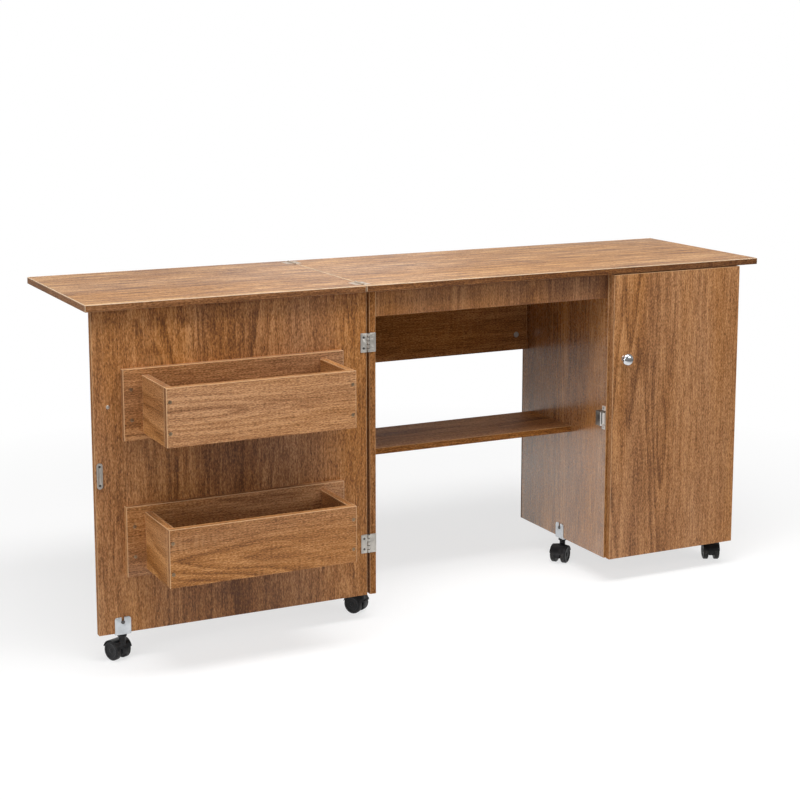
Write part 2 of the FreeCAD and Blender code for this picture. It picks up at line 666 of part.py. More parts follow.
gate_strike_x = "%s + strike_inset" % GATE_LEFT
gate_strike_y = "%s - strike_sheet" % FRONT
door_strike_x = "%s + (catch_width - strike_width) / 2" % CUP_LEFT
gate_strike, gate_strike_screws = strike("gate_strike", gate_strike_x, gate_strike_y, "+y", GATE_CATCH_LEVEL)
door_strike, door_strike_screws = strike("door_strike", door_strike_x, DOOR_BACK, "-y", DOOR_CATCH_LEVEL)


# Knobs: a waisted foot and a flattened ball, held by a screw through the panel
def knob(name, x, y, direction):
    """A knob standing on the panel's face at y, with its screw coming from the panel's other side."""
    sign, far = ("-", "+") if direction == "-y" else ("+", "-")
    foot = doc.addObject("Part::Cone", name + "_foot")
    foot.setExpression("Radius1", bound("knob_base_radius"))
    foot.setExpression("Radius2", bound("knob_neck_radius"))
    foot.setExpression("Height", bound("knob_neck_height"))
    place(foot, (x, y, KNOB_LEVEL), TURNS[direction])
    ball = doc.addObject("Part::Ellipsoid", name + "_ball")
    ball.setExpression("Radius1", bound("knob_head_half"))
    ball.setExpression("Radius2", bound("knob_head_radius"))
    ball.setExpression("Radius3", bound("knob_head_radius"))
    place(ball, (x, "%s %s knob_head_centre" % (y, sign), KNOB_LEVEL), TURNS[direction])
    bolt_y = "%s %s (board + knob_screw_head_height)" % (y, far)
    bolt = copy(name + "_screw", knob_screw, (x, bolt_y, KNOB_LEVEL), TURNS[direction])
    return cut(name, fuse(name + "_solid", [foot, ball]), [bolt]), bolt


gate_knob, gate_knob_screw = knob("gate_knob", "%s + knob_inset" % GATE_LEFT, "%s + board" % FRONT, "+y")
door_knob, door_knob_screw = knob("door_knob", "%s + knob_inset" % DOOR_LEFT, DOOR_FRONT, "-y")

# Cam fasteners that draw the carcass boards together, flush in the boards' hidden faces
rail_cams = [
    rod("rail_cam_%d_%d" % (i, j), (x, "%s - board" % BACK, z), "cam_radius", CAM_DEPTH, "+y")
    for i, x in enumerate(ends(KNEE_LEFT, KNEE_RIGHT, "cam_inset"))
    for j, z in enumerate(ends("(%s - rail_height)" % UNDER, UNDER, "cam_edge"))
]
apron_cam_level = "%s - apron_cam_drop" % UNDER
apron_cams = [
    rod("apron_cam_%d" % i, (x, "%s + board" % FRONT, apron_cam_level), "cam_radius", CAM_DEPTH, "-y")
    for i, x in enumerate(ends(KNEE_LEFT, KNEE_RIGHT, "cam_inset"))
]
shelf_low = "(%s + knee_shelf_setback)" % FRONT
shelf_cams = [
    rod("shelf_cam_%d_%d" % (i, j), (x, y, "%s - board" % KNEE_SHELF_TOP), "cam_radius", CAM_DEPTH, "+z")
    for i, x in enumerate(ends(KNEE_LEFT, KNEE_RIGHT, "cam_inset"))
    for j, y in enumerate(ends(shelf_low, "(%s + %s)" % (shelf_low, KNEE_SHELF_DEPTH), "cam_edge"))
]
bottom_cams = [
    rod("bottom_cam_%d_%d" % (i, j), (x, y, FLOOR_GAP), "cam_radius", CAM_DEPTH, "+z")
    for i, x in enumerate(ends(CUP_LEFT, CUP_RIGHT, "cam_inset"))
    for j, y in enumerate(ends(FRONT, BACK, "2 * cam_edge"))
]

# Shelf pegs: half in the cupboard's sides, half under the two loose shelves
peg_rows = ends("(%s + inner_shelf_setback)" % FRONT, BACK, "pin_peg_inset")
pegs_left = []
pegs_right = []
for i, top in enumerate((LOW_SHELF_TOP, HIGH_SHELF_TOP)):
    for j, y in enumerate(peg_rows):
        level = "%s - board - pin_peg_radius" % top
        left_spot = ("%s - pin_peg_depth" % CUP_LEFT, y, level)
        right_spot = ("%s + pin_peg_depth" % CUP_RIGHT, y, level)
        tag = "%d_%d" % (i, j)
        pegs_left.append(rod("peg_left_" + tag, left_spot, "pin_peg_radius", "2 * pin_peg_depth", "+x"))
        pegs_right.append(rod("peg_right_" + tag, right_spot, "pin_peg_radius", "2 * pin_peg_depth", "-x"))

# Cupboard back: a thin sheet screwed to the back edges of the two sides
back_levels = ends(FLOOR_GAP, UNDER, "cam_edge") + ["(%s + %s / 2)" % (FLOOR_GAP, PANEL_HEIGHT)]
back_screws = screws("back_screws", screw, "-y", [
    (x, "%s + back_sheet" % BACK, z)
    for x in ("%s + board / 2" % KNEE_RIGHT, "%s - board / 2" % RIGHT) for z in back_levels
])
cupboard_back = block("cupboard_back", (KNEE_RIGHT, BACK, FLOOR_GAP),
                      ("%s - %s" % (RIGHT, KNEE_RIGHT), "back_sheet", PANEL_HEIGHT))
node("cupboard_back", cut("cupboard_back_bored", cupboard_back, [back_screws]))

# Carcass boards
main_top = block("main_top_board", (SEAM, TOP_FRONT, UNDER), (MAIN_LENGTH, "top_depth", "board"))
node("main_top", cut("main_top_cut", main_top, let_in("main_recess", LEAF_AXIS) + [leaf_fixed_screws]))
SIDE = ("board", CARCASS_DEPTH, PANEL_HEIGHT)
left_side = block("left_side_board", (LEFT, FRONT, FLOOR_GAP), SIDE)
left_side_bores = [gate_fixed_screws, bracket_screws["left_front"], bracket_screws["left_back"]]
node("left_side_panel", cut("left_side_cut", left_side, left_side_bores))
cup_left = block("cup_left_board", (KNEE_RIGHT, FRONT, FLOOR_GAP), SIDE)
cup_left_bores = [gate_catch_screws, door_catch_screws, bracket_screws["middle"], back_screws] + pegs_left
node("cupboard_left_side", cut("cup_left_cut", cup_left, cup_left_bores))
cup_right = block("cup_right_board", (CUP_RIGHT, FRONT, FLOOR_GAP), SIDE)
cup_right_brackets = [bracket_screws["right_front"], bracket_screws["right_back"]]
cup_right_bores = [door_fixed_screws, back_screws] + cup_right_brackets + pegs_right
node("cupboard_right_side", cut("cup_right_cut", cup_right, cup_right_bores))
cup_bottom = block("cup_bottom_board", (CUP_LEFT, FRONT, FLOOR_GAP),
                   ("cupboard_width", CARCASS_DEPTH, "board"))
node("cupboard_bottom", cut("cup_bottom_cut", cup_bottom, bottom_cams))
for name, top in (("cupboard_low_shelf", LOW_SHELF_TOP), ("cupboard_high_shelf", HIGH_SHELF_TOP)):
    spot = ("%s + inner_shelf_gap" % CUP_LEFT, "%s + inner_shelf_setback" % FRONT, "%s - board" % top)
    sides = ("cupboard_width - 2 * inner_shelf_gap", "%s - inner_shelf_setback" % CARCASS_DEPTH, "board")
    node(name, block(name + "_board", spot, sides))
apron = block("apron_board", (KNEE_LEFT, FRONT, "%s - apron_height" % UNDER),
              ("kneehole_width", "board", "apron_height"))
node("front_apron", cut("apron_cut", apron, apron_cams))
rail = block("rail_board", (KNEE_LEFT, "%s - board" % BACK, "%s - rail_height" % UNDER),
             ("kneehole_width", "board", "rail_height"))
node("back_rail", cut("rail_cut", rail, rail_cams))
knee_shelf = block("knee_shelf_board", (KNEE_LEFT, shelf_low, "%s - board" % KNEE_SHELF_TOP),
                   ("kneehole_width", KNEE_SHELF_DEPTH, "board"))
node("kneehole_shelf", cut("knee_shelf_cut", knee_shelf, shelf_cams))

# Carcass fittings
node("shelf_pegs", group("peg_group", pegs_left + pegs_right))
node("cam_locks", group("cam_group", rail_cams + apron_cams + shelf_cams + bottom_cams))
node("gate_catch", gate_catch)
node("door_catch", door_catch)
for key, pair, fasteners in (("gate", gate_fixed, gate_fixed_screws), ("door", door_fixed, door_fixed_screws),
                             ("leaf", leaf_fixed, leaf_fixed_screws)):
    leaves = group("%s_fixed_pair" % key, pair)
    node("%s_hinge_fixed_leaves" % key, cut("%s_fixed_cut" % key, leaves, [fasteners]))
node("hinge_pins", group("pin_group", pins))
CARCASS_KEYS = [key for key in CASTERS if key != "gate"]
node("caster_brackets", group("bracket_group", [brackets[key] for key in CARCASS_KEYS]))
node("caster_stems", group("stem_group", [stems[key] for key in CARCASS_KEYS]))
carcass_hinge_screws = [gate_fixed_screws, door_fixed_screws, leaf_fixed_screws]
carcass_other_screws = [gate_catch_screws, door_catch_screws, back_screws]
carcass_bracket_screws = [bracket_screws[key] for key in CARCASS_KEYS]
node("carcass_screws", group("carcass_screw_group",
     carcass_hinge_screws + carcass_other_screws + carcass_bracket_screws))

# Fold-over leaf
leaf = block("leaf_board", ("%s - %s" % (SEAM, LEAF_LENGTH), TOP_FRONT, UNDER),
             ("%s - seam_gap" % LEAF_LENGTH, "top_depth", "board"))
leaf_recess = let_in("leaf_recess", "%s - gate_gap / 2 - hinge_width" % LEAF_AXIS)
node("folding_leaf", cut("leaf_cut", leaf, leaf_recess + [leaf_moving_screws]))
leaf_hinge_leaves = group("leaf_moving_pair", leaf_moving)
node("leaf_hinge_moving_leaves", cut("leaf_moving_cut", leaf_hinge_leaves, [leaf_moving_screws]))
node("leaf_screws", leaf_moving_screws)


# Bins: a mounting board on the gate, two sides, a front over their ends, and a thin floor
def bin_set(name, board_bottom):
    bottom = "(%s + %s)" % (board_bottom, BIN_LIFT)
    centre = "(%s + bin_board_height / 2)" % board_bottom
    heights = ["%s %s bin_screw_pitch / 2" % (centre, sign) for sign in ("-", "+")]
    side_depth = "(bin_depth - board)"
    right = "(%s + %s)" % (BIN_LEFT, BIN_WIDTH)
    side_middles = ends(BIN_LEFT, right, "board / 2")
    board_right = "(%s + %s)" % (BIN_BOARD_LEFT, BIN_BOARD_WIDTH)
    outer = ends(BIN_BOARD_LEFT, board_right, "board_screw_inset")
    mounting = screws(name + "_mounting_screws", long_screw, "+y",
                      [(x, BIN_BOARD_FACE, z) for x in outer for z in heights])
    front_set = screws(name + "_front_screws", long_screw, "+y",
                       [(x, BIN_FRONT, z) for x in side_middles for z in heights])
    back_set = screws(name + "_back_screws", long_screw, "-y",
                      [(x, FRONT, z) for x in side_middles for z in heights])
    plate = block(name + "_plate", (BIN_BOARD_LEFT, BIN_BOARD_FACE, board_bottom),
                  (BIN_BOARD_WIDTH, "board", "bin_board_height"))
    node(name + "_board", cut(name + "_plate_cut", plate, [mounting, back_set]))
    for label, x in (("left_side", BIN_LEFT), ("right_side", "%s - board" % right)):
        side = block("%s_%s_board" % (name, label), (x, "%s + board" % BIN_FRONT, bottom),
                     ("board", side_depth, "bin_height"))
        node("%s_%s" % (name, label), cut("%s_%s_cut" % (name, label), side, [front_set, back_set]))
    face = block(name + "_face", (BIN_LEFT, BIN_FRONT, bottom), (BIN_WIDTH, "board", "bin_height"))
    node(name + "_front", cut(name + "_face_cut", face, [front_set]))
    floor = block(name + "_floor_board", ("%s + board" % BIN_LEFT, "%s + board" % BIN_FRONT, bottom),
                  ("%s - 2 * board" % BIN_WIDTH, side_depth, "bin_floor"))
    node(name + "_floor", floor)
    return mounting, [mounting, front_set, back_set]


low_board_bottom = "(%s + low_board_rise)" % FLOOR_GAP
high_board_bottom = "(%s - high_board_drop - bin_board_height)" % UNDER
low_mounting, low_bin_screws = bin_set("low_bin", low_board_bottom)
high_mounting, high_bin_screws = bin_set("high_bin", high_board_bottom)
node("bin_screws", group("bin_screw_group", low_bin_screws + high_bin_screws))

# Swing gate
gate = block("gate_board", (GATE_LEFT, FRONT, FLOOR_GAP), (GATE_WIDTH, "board", SWING_HEIGHT))
gate_fasteners = [gate_moving_screws, gate_strike_screws, gate_knob_screw, bracket_screws["gate"]]
node("gate_panel", cut("gate_cut", gate, gate_fasteners + [low_mounting, high_mounting]))
node("gate_knob", gate_knob)
node("gate_strike", gate_strike)
gate_hinge_leaves = group("gate_moving_pair", gate_moving)
node("gate_hinge_moving_leaves", cut("gate_moving_cut", gate_hinge_leaves, [gate_moving_screws]))
node("gate_caster_bracket", brackets["gate"])
node("gate_caster_stem", stems["gate"])
node("gate_screws", group("gate_screw_group", gate_fasteners))

# Cupboard door
door = block("door_board", (DOOR_LEFT, DOOR_FRONT, FLOOR_GAP),
             ("%s - %s" % (RIGHT, DOOR_LEFT), "board", SWING_HEIGHT))
door_fasteners = [door_moving_screws, door_strike_screws, door_knob_screw]
node("door_panel", cut("door_cut", door, door_fasteners))
node("door_knob", door_knob)
node("door_strike", door_strike)
door_hinge_leaves = group("door_moving_pair", door_moving)
node("door_hinge_moving_leaves", cut("door_moving_cut", door_hinge_leaves, [door_moving_screws]))
node("door_screws", group("door_screw_group", door_fasteners))

doc.recompute()

# Every object must have come out whole before anything is written
for item in doc.Objects:
    if any(word in ("Invalid", "Error") for word in item.State):
        raise RuntimeError("failed object: %s %s" % (item.Name, item.State))
for name, piece in nodes:
    if piece.Shape.isNull() or not piece.Shape.isValid() or not piece.Shape.Solids:
        raise RuntimeError("bad shape: %s" % name)
os.makedirs("parts", exist_ok=True)
for name, piece in nodes:
    piece.Shape.exportStep("parts/%s.step" % name)
whole = FreeCAD.BoundBox()
for name, piece in nodes:
    whole.add(piece.Shape.BoundBox)
print("nodes", len(nodes), "solids", sum(len(piece.Shape.Solids) for name, piece in nodes))
print("box low", whole.XMin, whole.YMin, whole.ZMin)
print("box high", whole.XMax, whole.YMax, whole.ZMax)
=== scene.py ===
import json
import math
import bmesh
import bpy
from mathutils import Matrix, Vector

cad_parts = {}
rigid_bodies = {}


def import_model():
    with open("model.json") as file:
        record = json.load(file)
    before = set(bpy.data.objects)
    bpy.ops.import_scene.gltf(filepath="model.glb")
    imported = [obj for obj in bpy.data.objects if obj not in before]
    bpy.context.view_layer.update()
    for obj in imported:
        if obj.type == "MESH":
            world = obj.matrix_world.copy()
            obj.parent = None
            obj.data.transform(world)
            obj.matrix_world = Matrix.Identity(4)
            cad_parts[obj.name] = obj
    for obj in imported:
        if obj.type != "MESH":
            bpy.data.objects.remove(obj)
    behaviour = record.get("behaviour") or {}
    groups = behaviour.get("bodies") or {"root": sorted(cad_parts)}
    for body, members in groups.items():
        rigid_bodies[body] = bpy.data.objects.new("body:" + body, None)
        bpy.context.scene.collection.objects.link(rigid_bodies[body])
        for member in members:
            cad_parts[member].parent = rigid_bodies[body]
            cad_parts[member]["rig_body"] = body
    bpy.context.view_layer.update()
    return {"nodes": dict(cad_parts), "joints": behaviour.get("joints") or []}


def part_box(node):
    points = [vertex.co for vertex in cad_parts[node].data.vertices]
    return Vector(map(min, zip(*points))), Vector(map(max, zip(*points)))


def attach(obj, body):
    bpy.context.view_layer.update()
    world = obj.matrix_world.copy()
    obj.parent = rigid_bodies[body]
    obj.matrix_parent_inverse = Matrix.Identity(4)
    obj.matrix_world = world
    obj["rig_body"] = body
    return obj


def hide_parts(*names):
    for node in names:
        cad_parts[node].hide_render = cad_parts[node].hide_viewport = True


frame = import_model()
scene = bpy.context.scene

# Upright panels of the carcass
# Chipboard with a printed walnut paper pressed on both faces and thin bands of the same print ironed on the edges.
# The three panels carry the top and stand on the casters' brackets, grain upright.
BOARD_TONES = ((0.530, 0.258, 0.097, 1.0), (0.320, 0.128, 0.035, 1.0), (0.105, 0.035, 0.008, 1.0))
# A lighter copy of the board tones: painted light, for the cupboard's left side and the bins.
PAINTED_LIGHT_TONES = ((0.590, 0.300, 0.122, 1.0), (0.365, 0.152, 0.046, 1.0), (0.130, 0.045, 0.011, 1.0))
# Colour of the light line along board edges: partly wear of the bands, partly painted highlight on the arrises.
BAND_LINE = (0.640, 0.410, 0.230, 1.0)
WARM_SHEEN = (1.0, 0.86, 0.68, 1.0)
GRAIN_RINGS = 19.0
PORE_RELIEF = 0.00025
EDGE_ROUNDING = 0.0006
FLAT = 0.999
UNDERSIDE = -0.2
SUNKEN = 0.0002
SHEET_STEP = 9.0


def add(tree, kind, feeds=None, **settings):
    """A node in the tree: settings are its own properties, feeds its inputs, as values or as sockets to link."""
    node = tree.nodes.new(kind)
    for word, value in settings.items():
        setattr(node, word, value)
    for key, value in (feeds or {}).items():
        if isinstance(value, bpy.types.NodeSocket):
            tree.links.new(value, node.inputs[key])
        else:
            node.inputs[key].default_value = value
    return node


def sums(tree, operation, first, second, clamp=False):
    """One step of arithmetic on two values."""
    return add(tree, "ShaderNodeMath", {0: first, 1: second}, operation=operation, use_clamp=clamp).outputs[0]


def spread(tree, value, low, high, to_low=0.0, to_high=1.0):
    """Stretches the part of a value between low and high, clamped at both ends."""
    feeds = {"Value": value, "From Min": low, "From Max": high, "To Min": to_low, "To Max": to_high}
    return add(tree, "ShaderNodeMapRange", feeds).outputs[0]


def blend_colour(tree, share, first, second):
    """The first colour going over to the second by a share."""
    return add(tree, "ShaderNodeMix", {0: share, 6: first, 7: second}, data_type="RGBA").outputs[2]


def noise(tree, place, stretch, shift, detail, rough=0.55):
    """Noise on a place that is stretched along three directions and shifted."""
    longer = add(tree, "ShaderNodeVectorMath", {0: place, 1: stretch}, operation="MULTIPLY").outputs[0]
    moved = add(tree, "ShaderNodeVectorMath", {0: longer, 1: shift}, operation="ADD").outputs[0]
    feeds = {"Vector": moved, "Scale": 1.0, "Detail": detail, "Roughness": rough}
    return add(tree, "ShaderNodeTexNoise", feeds).outputs[0]


def sockets(tree, inputs, outputs):
    """Names a group's inputs and outputs and gives back its two end nodes."""
    for direction, listed in (("INPUT", inputs), ("OUTPUT", outputs)):
        for word, kind in listed.items():
            tree.interface.new_socket(name=word, in_out=direction, socket_type="NodeSocket" + kind)
    return tree.nodes.new("NodeGroupInput").outputs, tree.nodes.new("NodeGroupOutput").inputs


# The walnut print: Place runs along the grain, across it and from board to board, Edge is the way to the rim
print_tree = bpy.data.node_groups.new("walnut_print", "ShaderNodeTree")
given, made = sockets(
    print_tree,
    {"Place": "Vector", "Edge": "Float", "Light": "Color", "Mid": "Color", "Dark": "Color", "Line": "Color",
     "Figure": "Float", "Streak": "Float", "Wear": "Float", "Gloss": "Float"},
    {"Color": "Color", "Roughness": "Float", "Height": "Float"})
place = given["Place"]
zones = noise(print_tree, place, (0.35, 4.2, 5.0), (4.4, 0.9, 2.5), 1.0, 0.4)
bands = noise(print_tree, place, (0.6, 21.0, 5.0), (0.0, 0.0, 0.0), 4.0, 0.62)
swell = noise(print_tree, place, (0.75, 7.5, 5.0), (3.1, 7.7, 1.3), 1.8, 0.45)
rings = sums(print_tree, "MULTIPLY", swell, GRAIN_RINGS)
rings = add(print_tree, "ShaderNodeMath", {0: rings}, operation="FRACT").outputs[0]
late = sums(print_tree, "MULTIPLY", spread(print_tree, rings, 0.0, 0.2),
            spread(print_tree, rings, 1.0, 0.4, 0.25, 1.0))
flame = spread(print_tree, noise(print_tree, place, (1.0, 7.0, 5.0), (9.4, 2.2, 4.0), 1.0), 0.47, 0.62)
flame = sums(print_tree, "MULTIPLY", flame, given["Figure"])
streaks = noise(print_tree, place, (7.0, 75.0, 5.0), (8.3, 6.1, 1.9), 2.0, 0.6)
fibres = noise(print_tree, place, (15.0, 300.0, 5.0), (1.7, 0.4, 8.0), 2.0, 0.6)
dashes = noise(print_tree, place, (190.0, 560.0, 5.0), (2.4, 9.0, 5.0), 1.0)
pores = spread(print_tree, noise(print_tree, place, (95.0, 480.0, 5.0), (5.0, 3.0, 2.0), 1.0), 0.54, 0.68)
cuts = spread(print_tree, noise(print_tree, place, (125.0, 15.0, 5.0), (6.6, 1.1, 3.0), 1.0), 0.48, 0.64)
cut_zone = spread(print_tree, noise(print_tree, place, (2.0, 13.0, 5.0), (2.9, 8.0, 6.0), 1.0), 0.55, 0.68)
cuts = sums(print_tree, "MULTIPLY", cuts, cut_zone)
ring_part = sums(print_tree, "MULTIPLY", sums(print_tree, "SUBTRACT", late, 0.55), flame)
fibre_part = sums(print_tree, "MULTIPLY", sums(print_tree, "SUBTRACT", fibres, 0.5), 1.5)
tone = sums(print_tree, "ADD", fibre_part, sums(print_tree, "MULTIPLY", ring_part, 0.7))
for layer, strength in ((zones, 1.3), (bands, 1.3), (streaks, given["Streak"]), (dashes, 2.1)):
    share = sums(print_tree, "MULTIPLY", sums(print_tree, "SUBTRACT", layer, 0.5), strength)
    tone = sums(print_tree, "ADD", tone, share)
colour = blend_colour(print_tree, spread(print_tree, tone, -0.65, 0.0), given["Dark"], given["Mid"])
colour = blend_colour(print_tree, spread(print_tree, tone, 0.0, 0.65), colour, given["Light"])
colour = blend_colour(print_tree, sums(print_tree, "MULTIPLY", cuts, 0.32), colour, given["Light"])
colour = blend_colour(print_tree, sums(print_tree, "MULTIPLY", pores, 0.6), colour, given["Dark"])
warmth = noise(print_tree, place, (0.8, 5.0, 5.0), (7.2, 3.3, 0.6), 2.0)
colour = add(print_tree, "ShaderNodeHueSaturation",
             {"Saturation": spread(print_tree, warmth, 0.35, 0.65, 0.93, 1.05), "Color": colour}).outputs[0]
# The Line colour along the rims, ragged: partly wear of the edge bands, partly painted highlight on the arrises.
rough_edge = noise(print_tree, place, (90.0, 90.0, 5.0), (0.0, 4.0, 7.0), 2.0)
worn = sums(print_tree, "ADD", given["Edge"], sums(print_tree, "MULTIPLY", rough_edge, 0.0009))
worn = sums(print_tree, "MULTIPLY", spread(print_tree, worn, 0.0012, 0.0019, 1.0, 0.0), given["Wear"])
print_tree.links.new(blend_colour(print_tree, worn, colour, given["Line"]), made["Color"])
dull = sums(print_tree, "ADD", given["Gloss"], sums(print_tree, "MULTIPLY", pores, 0.14))
dull = sums(print_tree, "ADD", dull, sums(print_tree, "MULTIPLY", fibre_part, 0.08))
print_tree.links.new(sums(print_tree, "ADD", dull, sums(print_tree, "MULTIPLY", worn, 0.1)), made["Roughness"])
relief = sums(print_tree, "SUBTRACT", sums(print_tree, "MULTIPLY", fibres, 0.5), pores)
print_tree.links.new(sums(print_tree, "ADD", relief, sums(print_tree, "MULTIPLY", cuts, 0.2)), made["Height"])


def surface(name, metallic=0.0, specular=0.5, coat=0.0):
    """A material with its Principled shader and nothing else yet."""
    material = bpy.data.materials.new(name)
    material.use_nodes = True
    shader = material.node_tree.nodes["Principled BSDF"]
    shader.inputs["Metallic"].default_value = metallic
    shader.inputs["Specular IOR Level"].default_value = specular
    shader.inputs["Coat Weight"].default_value = coat
    shader.inputs["Coat Roughness"].default_value = 0.2
    shader.inputs["Coat IOR"].default_value = 1.7
    return material, material.node_tree, shader


def emboss(tree, shader, height, strength, depth):
    """Relief on a surface from a height."""
    feeds = {"Height": height, "Strength": strength, "Distance": depth}
    tree.links.new(add(tree, "ShaderNodeBump", feeds).outputs[0], shader.inputs["Normal"])


def laminate(name, tones, figure=1.0, streak=0.5, wear_and_highlight=0.55, gloss=0.42, specular=0.38, lacquer=0.0,
             line=BAND_LINE, relief=0.35):
    """Walnut print in light, mid and dark tones under a melamine film, by a board's grain and rim attributes."""
    light, mid, dark = tones
    material, tree, shader = surface(name, specular=specular, coat=lacquer)
    grain = add(tree, "ShaderNodeAttribute", attribute_name="grain")
    rim = add(tree, "ShaderNodeAttribute", attribute_name="rim")
    sides = add(tree, "ShaderNodeSeparateColor", {0: rim.outputs["Color"]}).outputs
    edge = sums(tree, "MINIMUM", sums(tree, "MINIMUM", sides[0], sides[1]),
                sums(tree, "MINIMUM", sides[2], rim.outputs["Alpha"]))
    feeds = {"Place": grain.outputs["Vector"], "Edge": edge, "Light": light, "Mid": mid, "Dark": dark,
             "Line": line, "Figure": figure, "Streak": streak, "Wear": wear_and_highlight, "Gloss": gloss}
    printed = add(tree, "ShaderNodeGroup", feeds, node_tree=print_tree)
    tree.links.new(printed.outputs["Color"], shader.inputs["Base Color"])
    tree.links.new(printed.outputs["Roughness"], shader.inputs["Roughness"])
    emboss(tree, shader, printed.outputs["Height"], relief, PORE_RELIEF)
    return material


def finished(piece, *nodes):
    """The piece stands for CAD nodes of one body: it hides them and joins their body."""
    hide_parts(*nodes)
    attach(piece, frame["nodes"][nodes[0]]["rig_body"])
    return piece


def piece_from(name, shape, *materials):
    """An object at the origin from a bmesh."""
    mesh = bpy.data.meshes.new(name)
    shape.to_mesh(mesh)
    shape.free()
    for material in materials:
        mesh.materials.append(material)
    piece = bpy.data.objects.new(name, mesh)
    scene.collection.objects.link(piece)
    return piece


def settle(piece):
    """Turns a piece's modifiers into plain mesh."""
    plain = bpy.data.meshes.new_from_object(piece.evaluated_get(bpy.context.evaluated_depsgraph_get()))
    rough, name = piece.data, piece.data.name
    piece.modifiers.clear()
    piece.data = plain
    bpy.data.meshes.remove(rough)
    plain.name = name


def carve(piece, tool):
    """Takes the tool's form out of a piece."""
    cutter = piece_from("cutter", tool)
    step = piece.modifiers.new("carve", "BOOLEAN")
    step.operation = "DIFFERENCE"
    step.solver = "EXACT"
    step.object = cutter
    settle(piece)
    bpy.data.objects.remove(cutter)


def slab(shape, low, high):
    """A box between two corners, put into a bmesh."""
    size = [b - a for a, b in zip(low, high)]
    middle = [(a + b) / 2 for a, b in zip(low, high)]
    bmesh.ops.create_cube(shape, size=1.0, matrix=Matrix.Translation(middle) @ Matrix.Diagonal((*size, 1.0)))


def board(node, grain, seed, material, band, tool=None, rounding=EDGE_ROUNDING):
    """A banded board in a CAD node's place; grain is 0, 1 or 2 for the axis that the print runs along."""
    low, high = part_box(node)
    shape = bmesh.new()
    slab(shape, low, high)
    bmesh.ops.bevel(shape, geom=shape.edges[:], offset=rounding, segments=2, profile=0.5, affect="EDGES")
    piece = piece_from(node + "_board", shape, material, band)
    if tool:
        carve(piece, tool)
    mesh = piece.data
    size = high - low
    thin = min(range(3), key=lambda axis: size[axis])
    mesh.attributes.new("grain", "FLOAT_VECTOR", "CORNER")
    mesh.attributes.new("rim", "FLOAT_COLOR", "CORNER")
    places, rims = mesh.attributes["grain"].data, mesh.attributes["rim"].data
    for face in mesh.polygons:
        facing = max(range(3), key=lambda axis: abs(face.normal[axis]))
        above = face.normal[facing] > 0
        outer = high[facing] if above else low[facing]
        one, two = [axis for axis in range(3) if axis != facing]
        flat = abs(face.normal[facing]) > FLAT
        face.material_index = 0 if facing == thin else 1
        along = grain if facing == thin else next(axis for axis in (one, two) if axis != thin)
        across = next(axis for axis in (one, two) if axis != along)
        sheet = seed + (0.0 if facing == thin else 0.31 + 0.13 * facing) + (0.07 if above else 0.0)
        for corner in face.loop_indices:
            spot = mesh.vertices[mesh.loops[corner].vertex_index].co
            places[corner].vector = (spot[along], spot[across], sheet * SHEET_STEP)
            # Bevels that don't face down take the whole edge line: painted highlight there, with the wear.
            if not flat and face.normal.z > UNDERSIDE:
                rims[corner].color = (0.0, 0.0, 0.0, 0.0)
            elif not flat or abs(spot[facing] - outer) > SUNKEN:
                rims[corner].color = (1.0, 1.0, 1.0, 1.0)
            else:
                rims[corner].color = (spot[one] - low[one], high[one] - spot[one],
                                      1.0 if two == 2 else spot[two] - low[two], high[two] - spot[two])
    return finished(piece, node)


walnut_board = laminate("walnut_board", BOARD_TONES)
# The cupboard's left side in the lighter tones, as painted light.
walnut_satin = laminate("walnut_satin", PAINTED_LIGHT_TONES, streak=0.9, gloss=0.26, specular=1.0, lacquer=0.85, relief=0.1)
walnut_satin.node_tree.nodes["Principled BSDF"].inputs["Specular Tint"].default_value = WARM_SHEEN
walnut_matt = laminate("walnut_matt", BOARD_TONES, wear_and_highlight=0.4, gloss=0.55, specular=0.03)
walnut_edge = laminate("walnut_edge", BOARD_TONES, figure=0.3, wear_and_highlight=0.35, gloss=0.6, specular=0.08)
board("left_side_panel", 2, 1.0, walnut_matt, walnut_edge)
board("cupboard_left_side", 2, 2.0, walnut_satin, walnut_edge)
board("cupboard_right_side", 2, 3.0, walnut_board, walnut_edge)

# Cams of the knock-down joints
# Die-cast zinc discs turned home with a screwdriver, sunk flush in rail, apron, shelf and cupboard bottom.
# Each has a raised rim and a cross slot.
CAM_FIT = 0.0001
CAM_SEAT = 0.0016
CAM_OUTLINE = [(0.0, -0.2), (0.96, -0.2), (0.96, -0.05), (0.92, 0.0), (0.52, 0.0), (0.5, -0.03), (0.0, -0.03)]
CAM_BOARDS = ("back_rail", "front_apron", "kneehole_shelf", "cupboard_bottom")
ZINC_GREY = (0.56, 0.56, 0.55, 1.0)
ZINC_SHADE = (0.42, 0.42, 0.42, 1.0)


def solids_of(node):
    """The corner points of each separate solid in a CAD node."""
    shape = bmesh.new()
    shape.from_mesh(frame["nodes"][node].data)
    bmesh.ops.remove_doubles(shape, verts=shape.verts[:], dist=1e-6)
    waiting = set(shape.verts)
    solids = []
    while waiting:
        edge_of_search = [waiting.pop()]
        solid = []
        while edge_of_search:
            vert = edge_of_search.pop()
            solid.append(vert.co.copy())
            for edge in vert.link_edges:
                other = edge.other_vert(vert)
                if other in waiting:
                    waiting.remove(other)
                    edge_of_search.append(other)
        solids.append(solid)
    shape.free()
    return solids


def round_ends(solid):
    """A round solid's axis, radius, and its two end centres with the directions they face."""
    low = Vector([min(spot[axis] for spot in solid) for axis in range(3)])
    high = Vector([max(spot[axis] for spot in solid) for axis in range(3)])
    size = high - low
    axis = max(range(3), key=lambda a: min(abs(size[a] - size[b]) for b in range(3) if b != a))
    ends = []
    for level, sign in ((low[axis], -1.0), (high[axis], 1.0)):
        centre = (low + high) / 2
        centre[axis] = level
        facing = Vector((0.0, 0.0, 0.0))
        facing[axis] = sign
        ends.append((centre, facing))
    return axis, max(size[a] for a in range(3) if a != axis) / 2, ends


